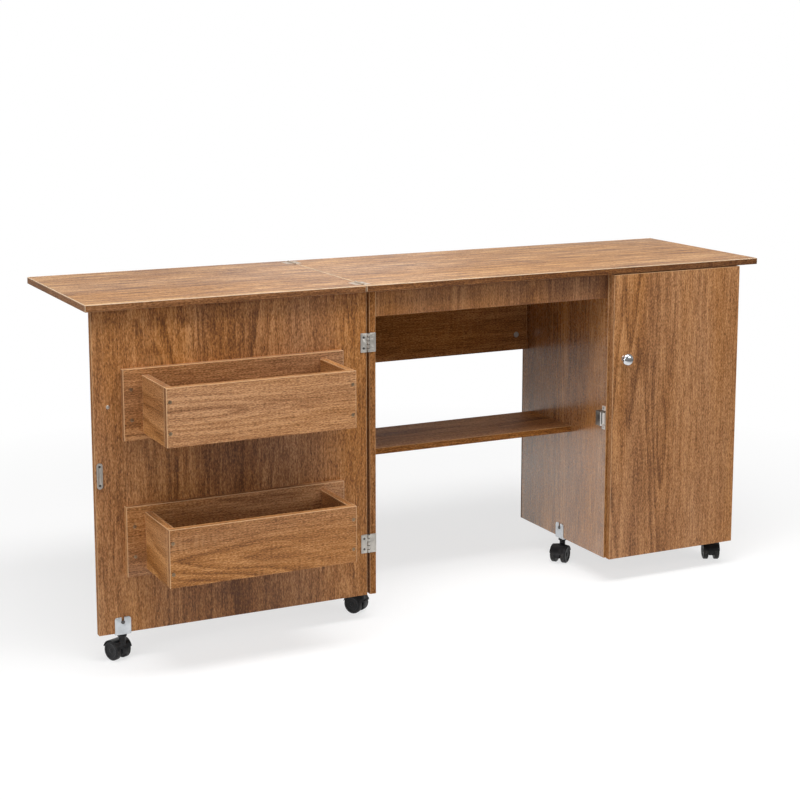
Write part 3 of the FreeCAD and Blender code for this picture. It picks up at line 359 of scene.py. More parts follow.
def drilled(spots, fit, depth):
    """One cutting tool with a round pocket at each spot of (centre, facing, radius)."""
    tool = bmesh.new()
    for centre, facing, radius in spots:
        turn = facing.to_track_quat("Z", "Y").to_matrix().to_4x4()
        bmesh.ops.create_cone(tool, cap_ends=True, segments=32, radius1=radius + fit, radius2=radius + fit,
                              depth=2 * depth, matrix=Matrix.Translation(centre) @ turn)
    return tool


cam_spots = {node: [] for node in CAM_BOARDS}
for solid in solids_of("cam_locks"):
    axis, radius, ends = round_ends(solid)
    middle = (ends[0][0] + ends[1][0]) / 2
    for node in CAM_BOARDS:
        low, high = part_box(node)
        if all(low[a] < middle[a] < high[a] for a in range(3)):
            near = min(ends, key=lambda end: min(abs(end[0][axis] - low[axis]), abs(end[0][axis] - high[axis])))
            cam_spots[node].append((near[0], near[1], radius))

# Handling marks that all metal pieces share: faint smudges and short fine scratches
marks_tree = bpy.data.node_groups.new("handling_marks", "ShaderNodeTree")
given, made = sockets(marks_tree, {"Place": "Vector"}, {"Smudge": "Float", "Scratch": "Float"})
smudge = noise(marks_tree, given["Place"], (55.0, 55.0, 55.0), (2.0, 5.0, 1.0), 4.0, 0.6)
marks_tree.links.new(spread(marks_tree, smudge, 0.38, 0.66), made["Smudge"])
scratch = noise(marks_tree, given["Place"], (260.0, 2600.0, 420.0), (7.0, 1.0, 3.0), 1.0)
marks_tree.links.new(spread(marks_tree, scratch, 0.62, 0.74), made["Scratch"])


def metal(name, bright, dull, smooth, scuffed, relief):
    """Plated or cast metal: smudged tone, uneven gloss and fine scratches."""
    material, tree, shader = surface(name, metallic=1.0)
    where = add(tree, "ShaderNodeTexCoord").outputs["Object"]
    marks = add(tree, "ShaderNodeGroup", {"Place": where}, node_tree=marks_tree)
    tone = blend_colour(tree, marks.outputs["Smudge"], bright, dull)
    tree.links.new(tone, shader.inputs["Base Color"])
    gloss = spread(tree, marks.outputs["Smudge"], 0.0, 1.0, smooth, scuffed)
    gloss = sums(tree, "ADD", gloss, sums(tree, "MULTIPLY", marks.outputs["Scratch"], 0.15))
    tree.links.new(gloss, shader.inputs["Roughness"])
    skin = noise(tree, where, (900.0, 900.0, 900.0), (0.0, 0.0, 0.0), 2.0)
    height = sums(tree, "SUBTRACT", skin, sums(tree, "MULTIPLY", marks.outputs["Scratch"], 0.8))
    emboss(tree, shader, height, relief, 0.0001)
    return material


cast_metal = metal("cast_metal", ZINC_GREY, ZINC_SHADE, 0.38, 0.55, 0.5)

# Heads set out by a node tree: one of two master heads at each point, turned to face out and spun by a seed
set_out = bpy.data.node_groups.new("heads_set_out", "GeometryNodeTree")
given, made = sockets(set_out, {"Points": "Geometry", "Head": "Object", "Second Head": "Object",
                                "Finish": "Material", "Seed": "Int"}, {"Heads": "Geometry"})
out_facing = add(set_out, "GeometryNodeInputNamedAttribute", {"Name": "facing"}, data_type="FLOAT_VECTOR")
head_size = add(set_out, "GeometryNodeInputNamedAttribute", {"Name": "size"}, data_type="FLOAT")
aimed = add(set_out, "FunctionNodeAlignRotationToVector", {"Vector": out_facing.outputs[0]}, axis="Z")
spun = add(set_out, "FunctionNodeRandomValue", {"Seed": given["Seed"]}, data_type="FLOAT")
spun.inputs[3].default_value = math.tau
spin = add(set_out, "ShaderNodeCombineXYZ", {"Z": spun.outputs[1]})
spin = add(set_out, "FunctionNodeEulerToRotation", {0: spin.outputs[0]})
turned = add(set_out, "FunctionNodeRotateRotation", {0: aimed.outputs[0], 1: spin.outputs[0]},
             rotation_space="LOCAL")
second = add(set_out, "GeometryNodeInputNamedAttribute", {"Name": "second"}, data_type="BOOLEAN")
first = add(set_out, "FunctionNodeBooleanMath", {0: second.outputs[0]}, operation="NOT")
both = set_out.nodes.new("GeometryNodeJoinGeometry")
for word, chosen in (("Head", first), ("Second Head", second)):
    master = add(set_out, "GeometryNodeObjectInfo", {"Object": given[word], "As Instance": True})
    heads = add(set_out, "GeometryNodeInstanceOnPoints",
                {"Points": given["Points"], "Selection": chosen.outputs[0], "Instance": master.outputs["Geometry"],
                 "Rotation": turned.outputs[0], "Scale": head_size.outputs[0]})
    set_out.links.new(heads.outputs[0], both.inputs[0])
heads = add(set_out, "GeometryNodeRealizeInstances", {"Geometry": both.outputs[0]})
heads = add(set_out, "GeometryNodeSetMaterial", {"Geometry": heads.outputs[0], "Material": given["Finish"]})
set_out.links.new(heads.outputs[0], made["Heads"])


def heads_at(name, spots, head, material, seed, second_spots=(), second_head=None, dark=()):
    """Heads at spots of (centre, facing, radius), another kind at second_spots; those in dark are coloured darker.
    """
    points = bpy.data.meshes.new(name)
    every = list(spots) + list(second_spots)
    points.from_pydata([spot[0] for spot in every], [], [])
    kinds = {"facing": "FLOAT_VECTOR", "size": "FLOAT", "second": "BOOLEAN", "dark": "FLOAT"}
    for word, kind in kinds.items():
        points.attributes.new(word, kind, "POINT")
    facing, size, second, dulled = [points.attributes[word].data for word in kinds]
    for i, spot in enumerate(every):
        facing[i].vector = spot[1]
        size[i].value = spot[2]
        second[i].value = i >= len(spots)
        dulled[i].value = float(spot in dark)
    piece = bpy.data.objects.new(name, points)
    scene.collection.objects.link(piece)
    step = piece.modifiers.new("set_out", "NODES")
    step.node_group = set_out
    socket = {item.name: item.identifier for item in set_out.interface.items_tree if item.in_out == "INPUT"}
    step[socket["Head"]] = head
    step[socket["Second Head"]] = second_head
    step[socket["Finish"]] = material
    step[socket["Seed"]] = seed
    settle(piece)
    return piece


def lathe(name, outline, sides, *materials):
    """A form turned about Z from points of (radius, height), lowest first; a radius of zero closes an end."""
    shape = bmesh.new()
    rings = []
    for radius, height in outline:
        if radius == 0:
            rings.append([shape.verts.new((0.0, 0.0, height))])
        else:
            angles = [math.tau * i / sides for i in range(sides)]
            rings.append([shape.verts.new((radius * math.cos(a), radius * math.sin(a), height)) for a in angles])
    for below, above in zip(rings, rings[1:]):
        for i in range(sides):
            j = (i + 1) % sides
            corners = [below[i % len(below)], below[j % len(below)], above[j % len(above)], above[i % len(above)]]
            shape.faces.new(list(dict.fromkeys(corners)))
    bmesh.ops.recalc_face_normals(shape, faces=shape.faces[:])
    return piece_from(name, shape, *materials)


def soften(piece, angle=35.0):
    """Smooth shading, with creases kept where faces meet at more than the angle."""
    for face in piece.data.polygons:
        face.use_smooth = True
    piece.data.set_sharp_from_angle(angle=math.radians(angle))


def cross(width, reach, depth):
    """A cross-head recess, open upwards, as a cutting tool."""
    tool = bmesh.new()
    slab(tool, (-reach, -width, -depth), (reach, width, 0.5))
    other = bmesh.new()
    slab(other, (-width, -reach, -depth), (width, reach, 0.5))
    spare = bpy.data.meshes.new("cross_arm")
    other.to_mesh(spare)
    other.free()
    tool.from_mesh(spare)
    bpy.data.meshes.remove(spare)
    return tool


cam_head = lathe("cam_head", CAM_OUTLINE, 32)
carve(cam_head, cross(0.1, 0.42, 0.15))
soften(cam_head)
cam_places = [spot for node in CAM_BOARDS for spot in cam_spots[node]]
cams = heads_at("cam_discs", cam_places, cam_head, cast_metal, 4)
finished(cams, "cam_locks")
bpy.data.objects.remove(cam_head)

# Apron, back rail and kneehole shelf
# The same laminate as the sides: the apron with its grain upright, in darker tones as painted shade under the top's
# overhang, the rail and the shelf with it lengthways. They tie the two ends of the table together and are drawn
# tight by the cams.
APRON_PAINTED_SHADE_TONES = ((0.375, 0.172, 0.062, 1.0), (0.222, 0.084, 0.022, 1.0), (0.073, 0.024, 0.006, 1.0))
walnut_deep = laminate("walnut_deep", APRON_PAINTED_SHADE_TONES)
for node, grain, seed, finish in (("front_apron", 2, 4.0, walnut_deep), ("back_rail", 0, 5.0, walnut_matt),
                                  ("kneehole_shelf", 0, 6.0, walnut_matt)):
    board(node, grain, seed, finish, walnut_edge, drilled(cam_spots[node], CAM_FIT, CAM_SEAT))

# Cupboard bottom, loose shelves and their pegs
# Laminate boards; the two shelves lie loose on plated steel pegs pushed into the sides.
PLATE_BRIGHT = (0.67, 0.70, 0.73, 1.0)
PLATE_DULL = (0.56, 0.59, 0.61, 1.0)
PLATE_ROUNDING = 0.0002
SHARP = 40.0
WELD = 2e-6
board("cupboard_bottom", 0, 7.0, walnut_matt, walnut_edge,
      drilled(cam_spots["cupboard_bottom"], CAM_FIT, CAM_SEAT))
board("cupboard_low_shelf", 0, 8.0, walnut_matt, walnut_edge)
board("cupboard_high_shelf", 0, 9.0, walnut_matt, walnut_edge)
zinc_steel = metal("zinc_steel", PLATE_BRIGHT, PLATE_DULL, 0.34, 0.44, 0.1)


def cad_form(node):
    """A merged copy of a CAD node's form."""
    shape = bmesh.new()
    shape.from_mesh(frame["nodes"][node].data)
    bmesh.ops.remove_doubles(shape, verts=shape.verts[:], dist=WELD)
    return shape


def join_flats(shape):
    """Joins the triangles of each flat face."""
    bmesh.ops.dissolve_limit(shape, angle_limit=math.radians(0.5), verts=shape.verts[:], edges=shape.edges[:])


def take_edges(piece, rounding):
    """Takes the sharp edges off a piece."""
    step = piece.modifiers.new("rounding", "BEVEL")
    step.width = rounding
    step.segments = 2
    step.limit_method = "ANGLE"
    step.angle_limit = math.radians(SHARP)
    settle(piece)


def fitting(node, rounding, material):
    """A pressed or moulded piece: the CAD form with its edges taken off and its curves shaded smooth."""
    shape = cad_form(node)
    join_flats(shape)
    piece = piece_from(node + "_part", shape, material)
    for face in piece.data.polygons:
        face.material_index = 0
    take_edges(piece, rounding)
    soften(piece)
    return finished(piece, node)


fitting("shelf_pegs", PLATE_ROUNDING, zinc_steel)

# Cupboard back
# A thin sheet of brown hardboard, painted on one side, screwed to the back edges of the cupboard's sides.
SCREW_FIT = 0.00012
SCREW_SEAT = 0.0016
HEAD_HEIGHT = 0.004
PAN_DEPTH = 0.0005
HARDBOARD = (0.235, 0.125, 0.062, 1.0)
HARDBOARD_FIBRE = (0.150, 0.074, 0.034, 1.0)


def screw_heads(node):
    """The heads of a CAD screw node, as (centre, facing, radius), with the pan heads apart from the countersunk."""
    sunk, pan = [], []
    for solid in solids_of(node):
        axis, radius, ends = round_ends(solid)
        wide = {}
        for end in ends:
            centre, facing = end
            depths = set()
            for spot in solid:
                down = abs(spot[axis] - centre[axis])
                reach = (spot - centre - facing * (spot - centre).dot(facing)).length
                if reach > 0.9 * radius:
                    depths.add(round(down, 4))
            lowest = max([depth for depth in depths if depth < HEAD_HEIGHT], default=0.0)
            wide[facing[axis]] = min(depths, default=1.0), lowest
        head = min(ends, key=lambda end: wide[end[1][axis]][0])
        deep = wide[head[1][axis]][1]
        (pan if deep > PAN_DEPTH else sunk).append((head[0], head[1], radius))
    return sunk, pan


def sunk_in(node, heads):
    """The heads that lie in a board's face."""
    low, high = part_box(node)
    return [h for h in heads if all(low[a] - PAN_DEPTH < h[0][a] < high[a] + PAN_DEPTH for a in range(3))]


hardboard, tree, shader = surface("hardboard", specular=0.35)
where = add(tree, "ShaderNodeTexCoord").outputs["Object"]
fuzz = noise(tree, where, (420.0, 60.0, 420.0), (0.0, 0.0, 0.0), 4.0, 0.7)
cloud = noise(tree, where, (9.0, 9.0, 9.0), (4.0, 1.0, 2.0), 3.0)
fibre = sums(tree, "ADD", sums(tree, "MULTIPLY", fuzz, 0.7), sums(tree, "MULTIPLY", cloud, 0.3))
fibre = spread(tree, fibre, 0.38, 0.62)
tree.links.new(blend_colour(tree, fibre, HARDBOARD_FIBRE, HARDBOARD), shader.inputs["Base Color"])
tree.links.new(spread(tree, fuzz, 0.3, 0.7, 0.55, 0.8), shader.inputs["Roughness"])
emboss(tree, shader, fuzz, 0.4, 0.0003)
board("cupboard_back", 2, 10.0, hardboard, hardboard,
      drilled(sunk_in("cupboard_back", screw_heads("carcass_screws")[0]), SCREW_FIT, SCREW_SEAT))

# Main top and folding leaf
# Two laminate boards with the grain along the table, in tones lighter than the sides' as painted light from above,
# and with a light line on their edges, partly wear and partly painted highlight.
# Two butt hinges are let in across the seam, so each board has shallow pockets for their sheets.
# Lighter copy of the board tones for the tops: painted light from above.
TOP_PAINTED_LIGHT_TONES = ((0.610, 0.340, 0.142, 1.0), (0.390, 0.174, 0.050, 1.0), (0.150, 0.056, 0.014, 1.0))
TOP_BAND_TONES = ((0.360, 0.170, 0.070, 1.0), (0.210, 0.085, 0.027, 1.0), (0.080, 0.026, 0.006, 1.0))
# The light line along the tops' edges: partly wear, partly painted highlight.
TOP_LINE = (0.86, 0.68, 0.48, 1.0)
TOP_ROUNDING = 0.0015
POCKET_FIT = 0.0002
POCKET_OPEN = 0.02
POCKET_DEPTH = 0.0012
walnut_top = laminate("walnut_top", TOP_PAINTED_LIGHT_TONES, figure=0.8, streak=3.2, wear_and_highlight=0.85, gloss=0.46, specular=0.2,
                      line=TOP_LINE)
walnut_band = laminate("walnut_band", TOP_BAND_TONES, figure=0.3, streak=0.8, wear_and_highlight=0.45, gloss=0.45, specular=0.3,
                       line=TOP_LINE)


def pockets(top, hinge):
    """Cutting tool for the pockets that a pair of hinge sheets is let into."""
    tool = bmesh.new()
    top_low, top_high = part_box(top)
    for solid in solids_of(hinge):
        low = [min(spot[a] for spot in solid) for a in range(3)]
        high = [max(spot[a] for spot in solid) for a in range(3)]
        left, right = low[0] - POCKET_FIT, high[0] + POCKET_FIT
        if low[0] < top_low[0] + POCKET_OPEN:
            left = top_low[0] - POCKET_OPEN
        if high[0] > top_high[0] - POCKET_OPEN:
            right = top_high[0] + POCKET_OPEN
        slab(tool, (left, low[1] - POCKET_FIT, top_high[2] - POCKET_DEPTH),
             (right, high[1] + POCKET_FIT, top_high[2] + POCKET_OPEN))
    return tool


for node, seed, hinge in (("main_top", 11.0, "leaf_hinge_fixed_leaves"),
                          ("folding_leaf", 12.0, "leaf_hinge_moving_leaves")):
    board(node, 0, seed, walnut_top, walnut_band, pockets(node, hinge), TOP_ROUNDING)

# Butt hinges of leaf, gate and door
# Zinc-plated steel sheet rolled into five knuckles round a steel pin, each leaf held by two countersunk screws.
HINGE_BRIGHT = (0.58, 0.55, 0.50, 1.0)
HINGE_DULL = (0.50, 0.47, 0.43, 1.0)
WORN_BRIGHT = (0.56, 0.46, 0.37, 1.0)
WORN_DULL = (0.47, 0.38, 0.30, 1.0)
# Dark colour of the gaps between knuckles: painted shade.
KNUCKLE_GAP_SHADE = (0.030, 0.024, 0.018, 1.0)
KNUCKLES = 5
KNUCKLE_REACH = 0.0035
nickel_steel = metal("nickel_steel", HINGE_BRIGHT, HINGE_DULL, 0.40, 0.50, 0.1)
worn_nickel = metal("worn_nickel", WORN_BRIGHT, WORN_DULL, 0.52, 0.64, 0.15)
hinge_steel = metal("hinge_steel", HINGE_BRIGHT, HINGE_DULL, 0.40, 0.50, 0.1)


def stain(tree, share, colour):
    """Lays a colour over a metal's own by a share."""
    base = tree.nodes["Principled BSDF"].inputs["Base Color"]
    tree.links.new(blend_colour(tree, share, base.links[0].from_socket, colour), base)


def shade_knuckle_gaps(material):
    """Painted shade in the gaps where two knuckles meet, read from the knuckle attribute of a hinge."""
    tree = material.node_tree
    place = add(tree, "ShaderNodeAttribute", attribute_name="knuckle").outputs["Vector"]
    away, along = add(tree, "ShaderNodeSeparateXYZ", {0: place}).outputs[:2]
    joint = spread(tree, sums(tree, "PINGPONG", along, 0.5), 0.05, 0.11, 1.0, 0.0)
    joint = sums(tree, "MULTIPLY", joint, spread(tree, away, KNUCKLE_REACH, KNUCKLE_REACH * 1.2, 1.0, 0.0))
    stain(tree, joint, KNUCKLE_GAP_SHADE)


def hinge_leaves(node, pins, finish):
    """A pair of hinge leaves; each point keeps its way from the pin and its place along the knuckles."""
    piece = fitting(node, PLATE_ROUNDING, finish)
    knuckle = piece.data.attributes.new("knuckle", "FLOAT_VECTOR", "POINT").data
    for vert in piece.data.vertices:
        places = []
        for axis, (foot, _), (tip, _) in pins:
            away = vert.co - foot
            along = away[axis] / (tip - foot)[axis]
            away[axis] = 0.0
            places.append((abs(along - 0.5) > 0.55, away.length, along * KNUCKLES))
        off, away, along = min(places)
        knuckle[vert.index].vector = (1.0 if off else away, along, 0.0)


shade_knuckle_gaps(hinge_steel)
pins = [(axis, *ends) for axis, radius, ends in map(round_ends, solids_of("hinge_pins"))]
for hinged, finish in (("leaf", worn_nickel), ("gate", hinge_steel), ("door", hinge_steel)):
    hinge_leaves(hinged + "_hinge_fixed_leaves", pins, finish)
    hinge_leaves(hinged + "_hinge_moving_leaves", pins, finish)
fitting("hinge_pins", PLATE_ROUNDING, nickel_steel)

# Swing gate
# One upright laminate panel that turns on the left side's hinges and carries the leaf on its top edge.
board("gate_panel", 2, 14.5, walnut_board, walnut_edge)

# Bins on the gate
# Each is a mounting board, two sides, a front and a floor of the same laminate, screwed through front and back.
# Grain runs along the front and the mounting board, and from front to back on the sides.
BIN_BOARDS = (("board", 0), ("left_side", 1), ("right_side", 1), ("front", 0), ("floor", 0))
# The bins in the lighter tones, as painted light.
walnut_bin = laminate("walnut_bin", PAINTED_LIGHT_TONES, wear_and_highlight=0.9)
bin_sunk = screw_heads("bin_screws")[0]
for seed, level in ((14.0, "low"), (20.0, "high")):
    for step, (part, grain) in enumerate(BIN_BOARDS):
        node = level + "_bin_" + part
        heads = sunk_in(node, bin_sunk)
        tool = drilled(heads, SCREW_FIT, SCREW_SEAT) if heads else None
        board(node, grain, seed + step, walnut_bin, walnut_bin, tool)

# Cupboard door
# One upright laminate panel on two butt hinges at its right edge, overlaying the cupboard's front.
board("door_panel", 2, 26.65, walnut_board, walnut_edge)

# Knobs of door and gate
# Turned or cast brass, chromed: a waisted foot and a flattened ball, held by a screw from the panel's other side.
CHROME = (0.72, 0.73, 0.75, 1.0)
CHROME_SHADE = (0.60, 0.61, 0.63, 1.0)
KNOB_OUTLINE = [(0.0, 0.0), (0.0083, 0.0), (0.0085, 0.0004), (0.0083, 0.0012), (0.0072, 0.0026), (0.0064, 0.0048),
                (0.0061, 0.0072), (0.0068, 0.0086), (0.0095, 0.0100), (0.0122, 0.0116), (0.0139, 0.0135),
                (0.0145, 0.0155), (0.0141, 0.0174), (0.0129, 0.0193), (0.0108, 0.0211), (0.0080, 0.0224),
                (0.0045, 0.0232), (0.0, 0.0235)]
knob_chrome = metal("knob_chrome", CHROME, CHROME_SHADE, 0.07, 0.14, 0.06)
for node, toward in (("gate_knob", 1.0), ("door_knob", -1.0)):
    low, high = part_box(node)
    knob = lathe(node + "_turned", KNOB_OUTLINE, 48, knob_chrome)
    foot = Vector(((low.x + high.x) / 2, low.y if toward > 0 else high.y, (low.z + high.z) / 2))
    knob.data.transform(Matrix.Translation(foot) @ Matrix.Rotation(math.radians(-90.0 * toward), 4, "X"))
    soften(knob)
    finished(knob, node)

# Magnetic catches and strike plates
# A cast housing with two screw ears; in its mouth a steel pole plate stands between two dark magnet bars.
# A plated steel bar with round ends on gate and door is what it holds.
MAGNET = (0.035, 0.034, 0.033, 1.0)
MAGNET_WORN = (0.06, 0.06, 0.058, 1.0)
CATCH_BRIGHT = (0.30, 0.27, 0.24, 1.0)
CATCH_DULL = (0.13, 0.115, 0.10, 1.0)
POLE_BRIGHT = (0.90, 0.88, 0.85, 1.0)
POLE_DULL = (0.80, 0.78, 0.75, 1.0)
MOUTH_WIDTH = 0.0112
MOUTH_DEPTH = 0.0040
POLE_THICKNESS = 0.0062
MAGNET_SETBACK = 0.0018
MAGNET_PLAY = 0.0006
MAGNET_INSET = 0.0005
POLE_PLAY = 0.0003
HOUSING_HALF = 0.0178
magnet_black = metal("magnet_black", MAGNET, MAGNET_WORN, 0.5, 0.65, 0.6)
catch_grey = metal("catch_grey", CATCH_BRIGHT, CATCH_DULL, 0.34, 0.5, 0.4)
pole_steel = metal("pole_steel", POLE_BRIGHT, POLE_DULL, 0.55, 0.65, 0.1)
for node in ("gate_catch", "door_catch"):
    magnet, housing = sorted(solids_of(node), key=len)
    mouth = min(spot.y for spot in magnet)
    front = min(spot.y for spot in housing)
    middle = sum(spot.x for spot in magnet) / len(magnet)
    low, high = min(spot.z for spot in magnet), max(spot.z for spot in magnet)
    left, right = middle - MOUTH_WIDTH / 2, middle + MOUTH_WIDTH / 2
    pole_left, pole_right = middle - POLE_THICKNESS / 2, middle + POLE_THICKNESS / 2
    shape = cad_form(node)
    tips = [vert for vert in shape.verts if vert.co.y < (mouth + front) / 2]
    grown = bmesh.ops.region_extend(shape, geom=tips, use_faces=False, use_face_step=False)["geom"]
    bar = set(tips) | {item for item in grown if isinstance(item, bmesh.types.BMVert)}
    bmesh.ops.delete(shape, geom=list(bar), context="VERTS")
    join_flats(shape)
    catch = piece_from(node + "_part", shape)
    slot = bmesh.new()
    slab(slot, (left, front - 0.01, low), (right, front + MOUTH_DEPTH, high))
    carve(catch, slot)
    take_edges(catch, PLATE_ROUNDING)
    shape = bmesh.new()
    shape.from_mesh(catch.data)
    back = front + MOUTH_DEPTH + MAGNET_INSET
    slab(shape, (pole_left, mouth, low + POLE_PLAY), (pole_right, back, high - POLE_PLAY))
    for near, far in ((left + MAGNET_PLAY, pole_left), (pole_right, right - MAGNET_PLAY)):
        slab(shape, (near, front + MAGNET_SETBACK, low + MAGNET_INSET), (far, back, high - MAGNET_INSET))
    shape.to_mesh(catch.data)
    shape.free()
    catch.data.materials.clear()
    for finish in (catch_grey, magnet_black, pole_steel):
        catch.data.materials.append(finish)
    for face in catch.data.polygons:
        spot = face.center
        inside = (left - POLE_PLAY < spot.x < right + POLE_PLAY
                  and low - POLE_PLAY < spot.z < high + POLE_PLAY)
        pole = abs(spot.x - middle) < POLE_THICKNESS / 2 + 0.0001
        if inside and pole or abs(spot.z - (low + high) / 2) > HOUSING_HALF:
            face.material_index = 2
        elif inside and front + 0.0004 < spot.y < back + 0.0001:
            face.material_index = 1
        else:
            face.material_index = 0
    soften(catch)
    finished(catch, node)
for node in ("gate_strike", "door_strike"):
    fitting(node, PLATE_ROUNDING, nickel_steel)

# Screws
# Zinc-plated cross-head screws: countersunk ones in hinges, plates and bins, pan heads on brackets and knobs.
# Each is turned home to a different angle.
SUNK_OUTLINE = [(0.0, -0.42), (0.55, -0.42), (0.93, -0.06), (0.95, -0.03), (0.92, -0.015), (0.0, 0.0)]
PAN_OUTLINE = [(0.0, -0.55), (1.0, -0.55), (1.0, -0.36), (0.95, -0.22), (0.82, -0.1), (0.6, -0.03), (0.0, 0.0)]
# Darker colour for some of the screw heads.
DARK_HEAD_TONE = (0.12, 0.115, 0.11, 1.0)
BROWN_STEEL = (0.36, 0.26, 0.16, 1.0)
BROWN_STEEL_DULL = (0.22, 0.15, 0.09, 1.0)
LOW_SCREWS = 0.15
sunk_head = lathe("sunk_head", SUNK_OUTLINE, 24)
pan_head = lathe("pan_head", PAN_OUTLINE, 24)
for head, slot_width in ((sunk_head, 0.11), (pan_head, 0.12)):
    carve(head, cross(slot_width, 0.55, 0.3))
    soften(head)
worn_screws = metal("worn_screws", HINGE_BRIGHT, HINGE_DULL, 0.36, 0.5, 0.2)
darkened_heads = add(worn_screws.node_tree, "ShaderNodeAttribute", attribute_name="dark").outputs["Fac"]
stain(worn_screws.node_tree, darkened_heads, DARK_HEAD_TONE)
screw_steel = metal("screw_steel", BROWN_STEEL, BROWN_STEEL_DULL, 0.34, 0.5, 0.2)
for seed, node in enumerate(("carcass_screws", "leaf_screws", "gate_screws", "door_screws", "bin_screws")):
    sunk, pan = screw_heads(node)
    finish = {"bin_screws": screw_steel, "leaf_screws": worn_nickel}.get(node, worn_screws)
    # The low pan heads and the gate's countersunk heads get the darker colour.
    dark = [spot for spot in pan if spot[0].z < LOW_SCREWS] + (sunk if node == "gate_screws" else [])
    finished(heads_at(node + "_heads", sunk, sunk_head, finish, 11 + seed, pan, pan_head, dark), node)
for head in (sunk_head, pan_head):
    bpy.data.objects.remove(head)

# Caster brackets and stems
# Plated steel angles with an open slot for one pan-head screw, and the turned stems riveted into them.
BRACKET_ROUNDING = 0.0004
for node in ("caster_brackets", "gate_caster_bracket"):
    fitting(node, BRACKET_ROUNDING, zinc_steel)
for node in ("caster_stems", "gate_caster_stem"):
    fitting(node, PLATE_ROUNDING, zinc_steel)

# Casters
# Twin wheels of hard nylon on one axle under a moulded hood, all black; the treads are scuffed by the floor.
HOOD_BLACK = (0.008, 0.008, 0.009, 1.0)
HOOD_GREY = (0.018, 0.018, 0.019, 1.0)
SCUFF = (0.055, 0.053, 0.051, 1.0)
HOOD_ROUNDING = 0.0006
WHEEL_ROUNDING = 0.0004
WHEEL_RADIUS = 0.0215
TREAD_DEPTH = 0.002
CAP_REACH = 0.010
FENDER_FIT = 0.0004
FENDER_DRAW = 0.7

# Fine moulded grain with a slow unevenness in the gloss
mould_tree = bpy.data.node_groups.new("mould_grain", "ShaderNodeTree")
given, made = sockets(mould_tree, {"Place": "Vector"}, {"Grain": "Float", "Patch": "Float"})
pits = noise(mould_tree, given["Place"], (1500.0, 1500.0, 1500.0), (0.0, 0.0, 0.0), 2.0)
mould_tree.links.new(pits, made["Grain"])
patch = noise(mould_tree, given["Place"], (70.0, 70.0, 70.0), (3.0, 1.0, 2.0), 3.0)
mould_tree.links.new(spread(mould_tree, patch, 0.36, 0.64), made["Patch"])


def moulded(name, base, patchy, gloss, worn=None):
    """Black plastic; the tread attribute, where given, says how much the floor has scuffed it."""
    material, tree, shader = surface(name, specular=0.22)
    where = add(tree, "ShaderNodeTexCoord").outputs["Object"]
    grain = add(tree, "ShaderNodeGroup", {"Place": where}, node_tree=mould_tree)
    tone = blend_colour(tree, grain.outputs["Patch"], base, patchy)
    rough = spread(tree, grain.outputs["Patch"], 0.0, 1.0, gloss, gloss + 0.12)
    if worn:
        tread = add(tree, "ShaderNodeAttribute", attribute_name="tread").outputs["Fac"]
        scuffs = noise(tree, where, (300.0, 300.0, 300.0), (1.0, 2.0, 3.0), 3.0, 0.7)
        scuffs = sums(tree, "MULTIPLY", tread, spread(tree, scuffs, 0.4, 0.65))
        tone = blend_colour(tree, scuffs, tone, worn)
        rough = sums(tree, "ADD", rough, sums(tree, "MULTIPLY", scuffs, 0.3), clamp=True)
    tree.links.new(tone, shader.inputs["Base Color"])
    tree.links.new(rough, shader.inputs["Roughness"])
    emboss(tree, shader, grain.outputs["Grain"], 0.25, 0.0001)
    return material


caster_plastic = moulded("caster_plastic", HOOD_BLACK, HOOD_GREY, 0.30)
caster_nylon = moulded("caster_nylon", HOOD_BLACK, HOOD_GREY, 0.30, SCUFF)
joints = {joint["name"]: joint for joint in frame["joints"]}
for key in ("gate", "left_front", "left_back", "middle", "right_front", "right_back"):
    hood = fitting("caster_%s_hood" % key, HOOD_ROUNDING, caster_plastic)
    wheels = fitting("caster_%s_wheels" % key, WHEEL_ROUNDING, caster_nylon)
    turn, roll = joints["caster_%s_turn" % key], joints["caster_%s_roll" % key]
    stem, axle, axis = Vector(turn["pos_m"]), Vector(roll["pos_m"]), Vector(roll["axis"]).normalized()
    tread = wheels.data.attributes.new("tread", "FLOAT", "POINT").data
    for vert in wheels.data.vertices:
        away = vert.co - axle
        reach = (away - axis * away.dot(axis)).length
        tread[vert.index].value = min(1.0, max(0.0, (reach - WHEEL_RADIUS + TREAD_DEPTH) / TREAD_DEPTH))
    for vert in hood.data.vertices:
        away = vert.co - axle
        spoke = away - axis * away.dot(axis)
        clear = min(1.0, max(0.0, ((vert.co - stem).xy.length - CAP_REACH) / CAP_REACH))
        if spoke.length > WHEEL_RADIUS + FENDER_FIT:
            over = (spoke.length - WHEEL_RADIUS - FENDER_FIT) * FENDER_DRAW * clear
            vert.co -= spoke.normalized() * over

# Floor, light and camera
# A pale studio floor that keeps the table's soft shadow and fades to white, a wide soft light from above and in
# front, and the long lens of the photograph.
FLOOR_REACH = 9.0
WHITE = (1.0, 1.0, 1.0, 1.0)
CAMERA_SPOT = (-1.8041, -3.5475, 1.3137)
CAMERA_YAW, CAMERA_PITCH = 0.4582, 0.1650


def light_paths(tree):
    """Whether a ray comes from the camera, and whether it comes from there, off a mirror or through glass."""
    rays = add(tree, "ShaderNodeLightPath").outputs
    bent = sums(tree, "MAXIMUM", rays["Is Glossy Ray"], rays["Is Transmission Ray"])
    return rays["Is Camera Ray"], sums(tree, "MAXIMUM", rays["Is Camera Ray"], bent)


def looking(spot, direction):
    """The placing of a lamp or a camera that looks from a spot along a direction."""
    return Matrix.Translation(spot) @ direction.to_track_quat("-Z", "Y").to_matrix().to_4x4()


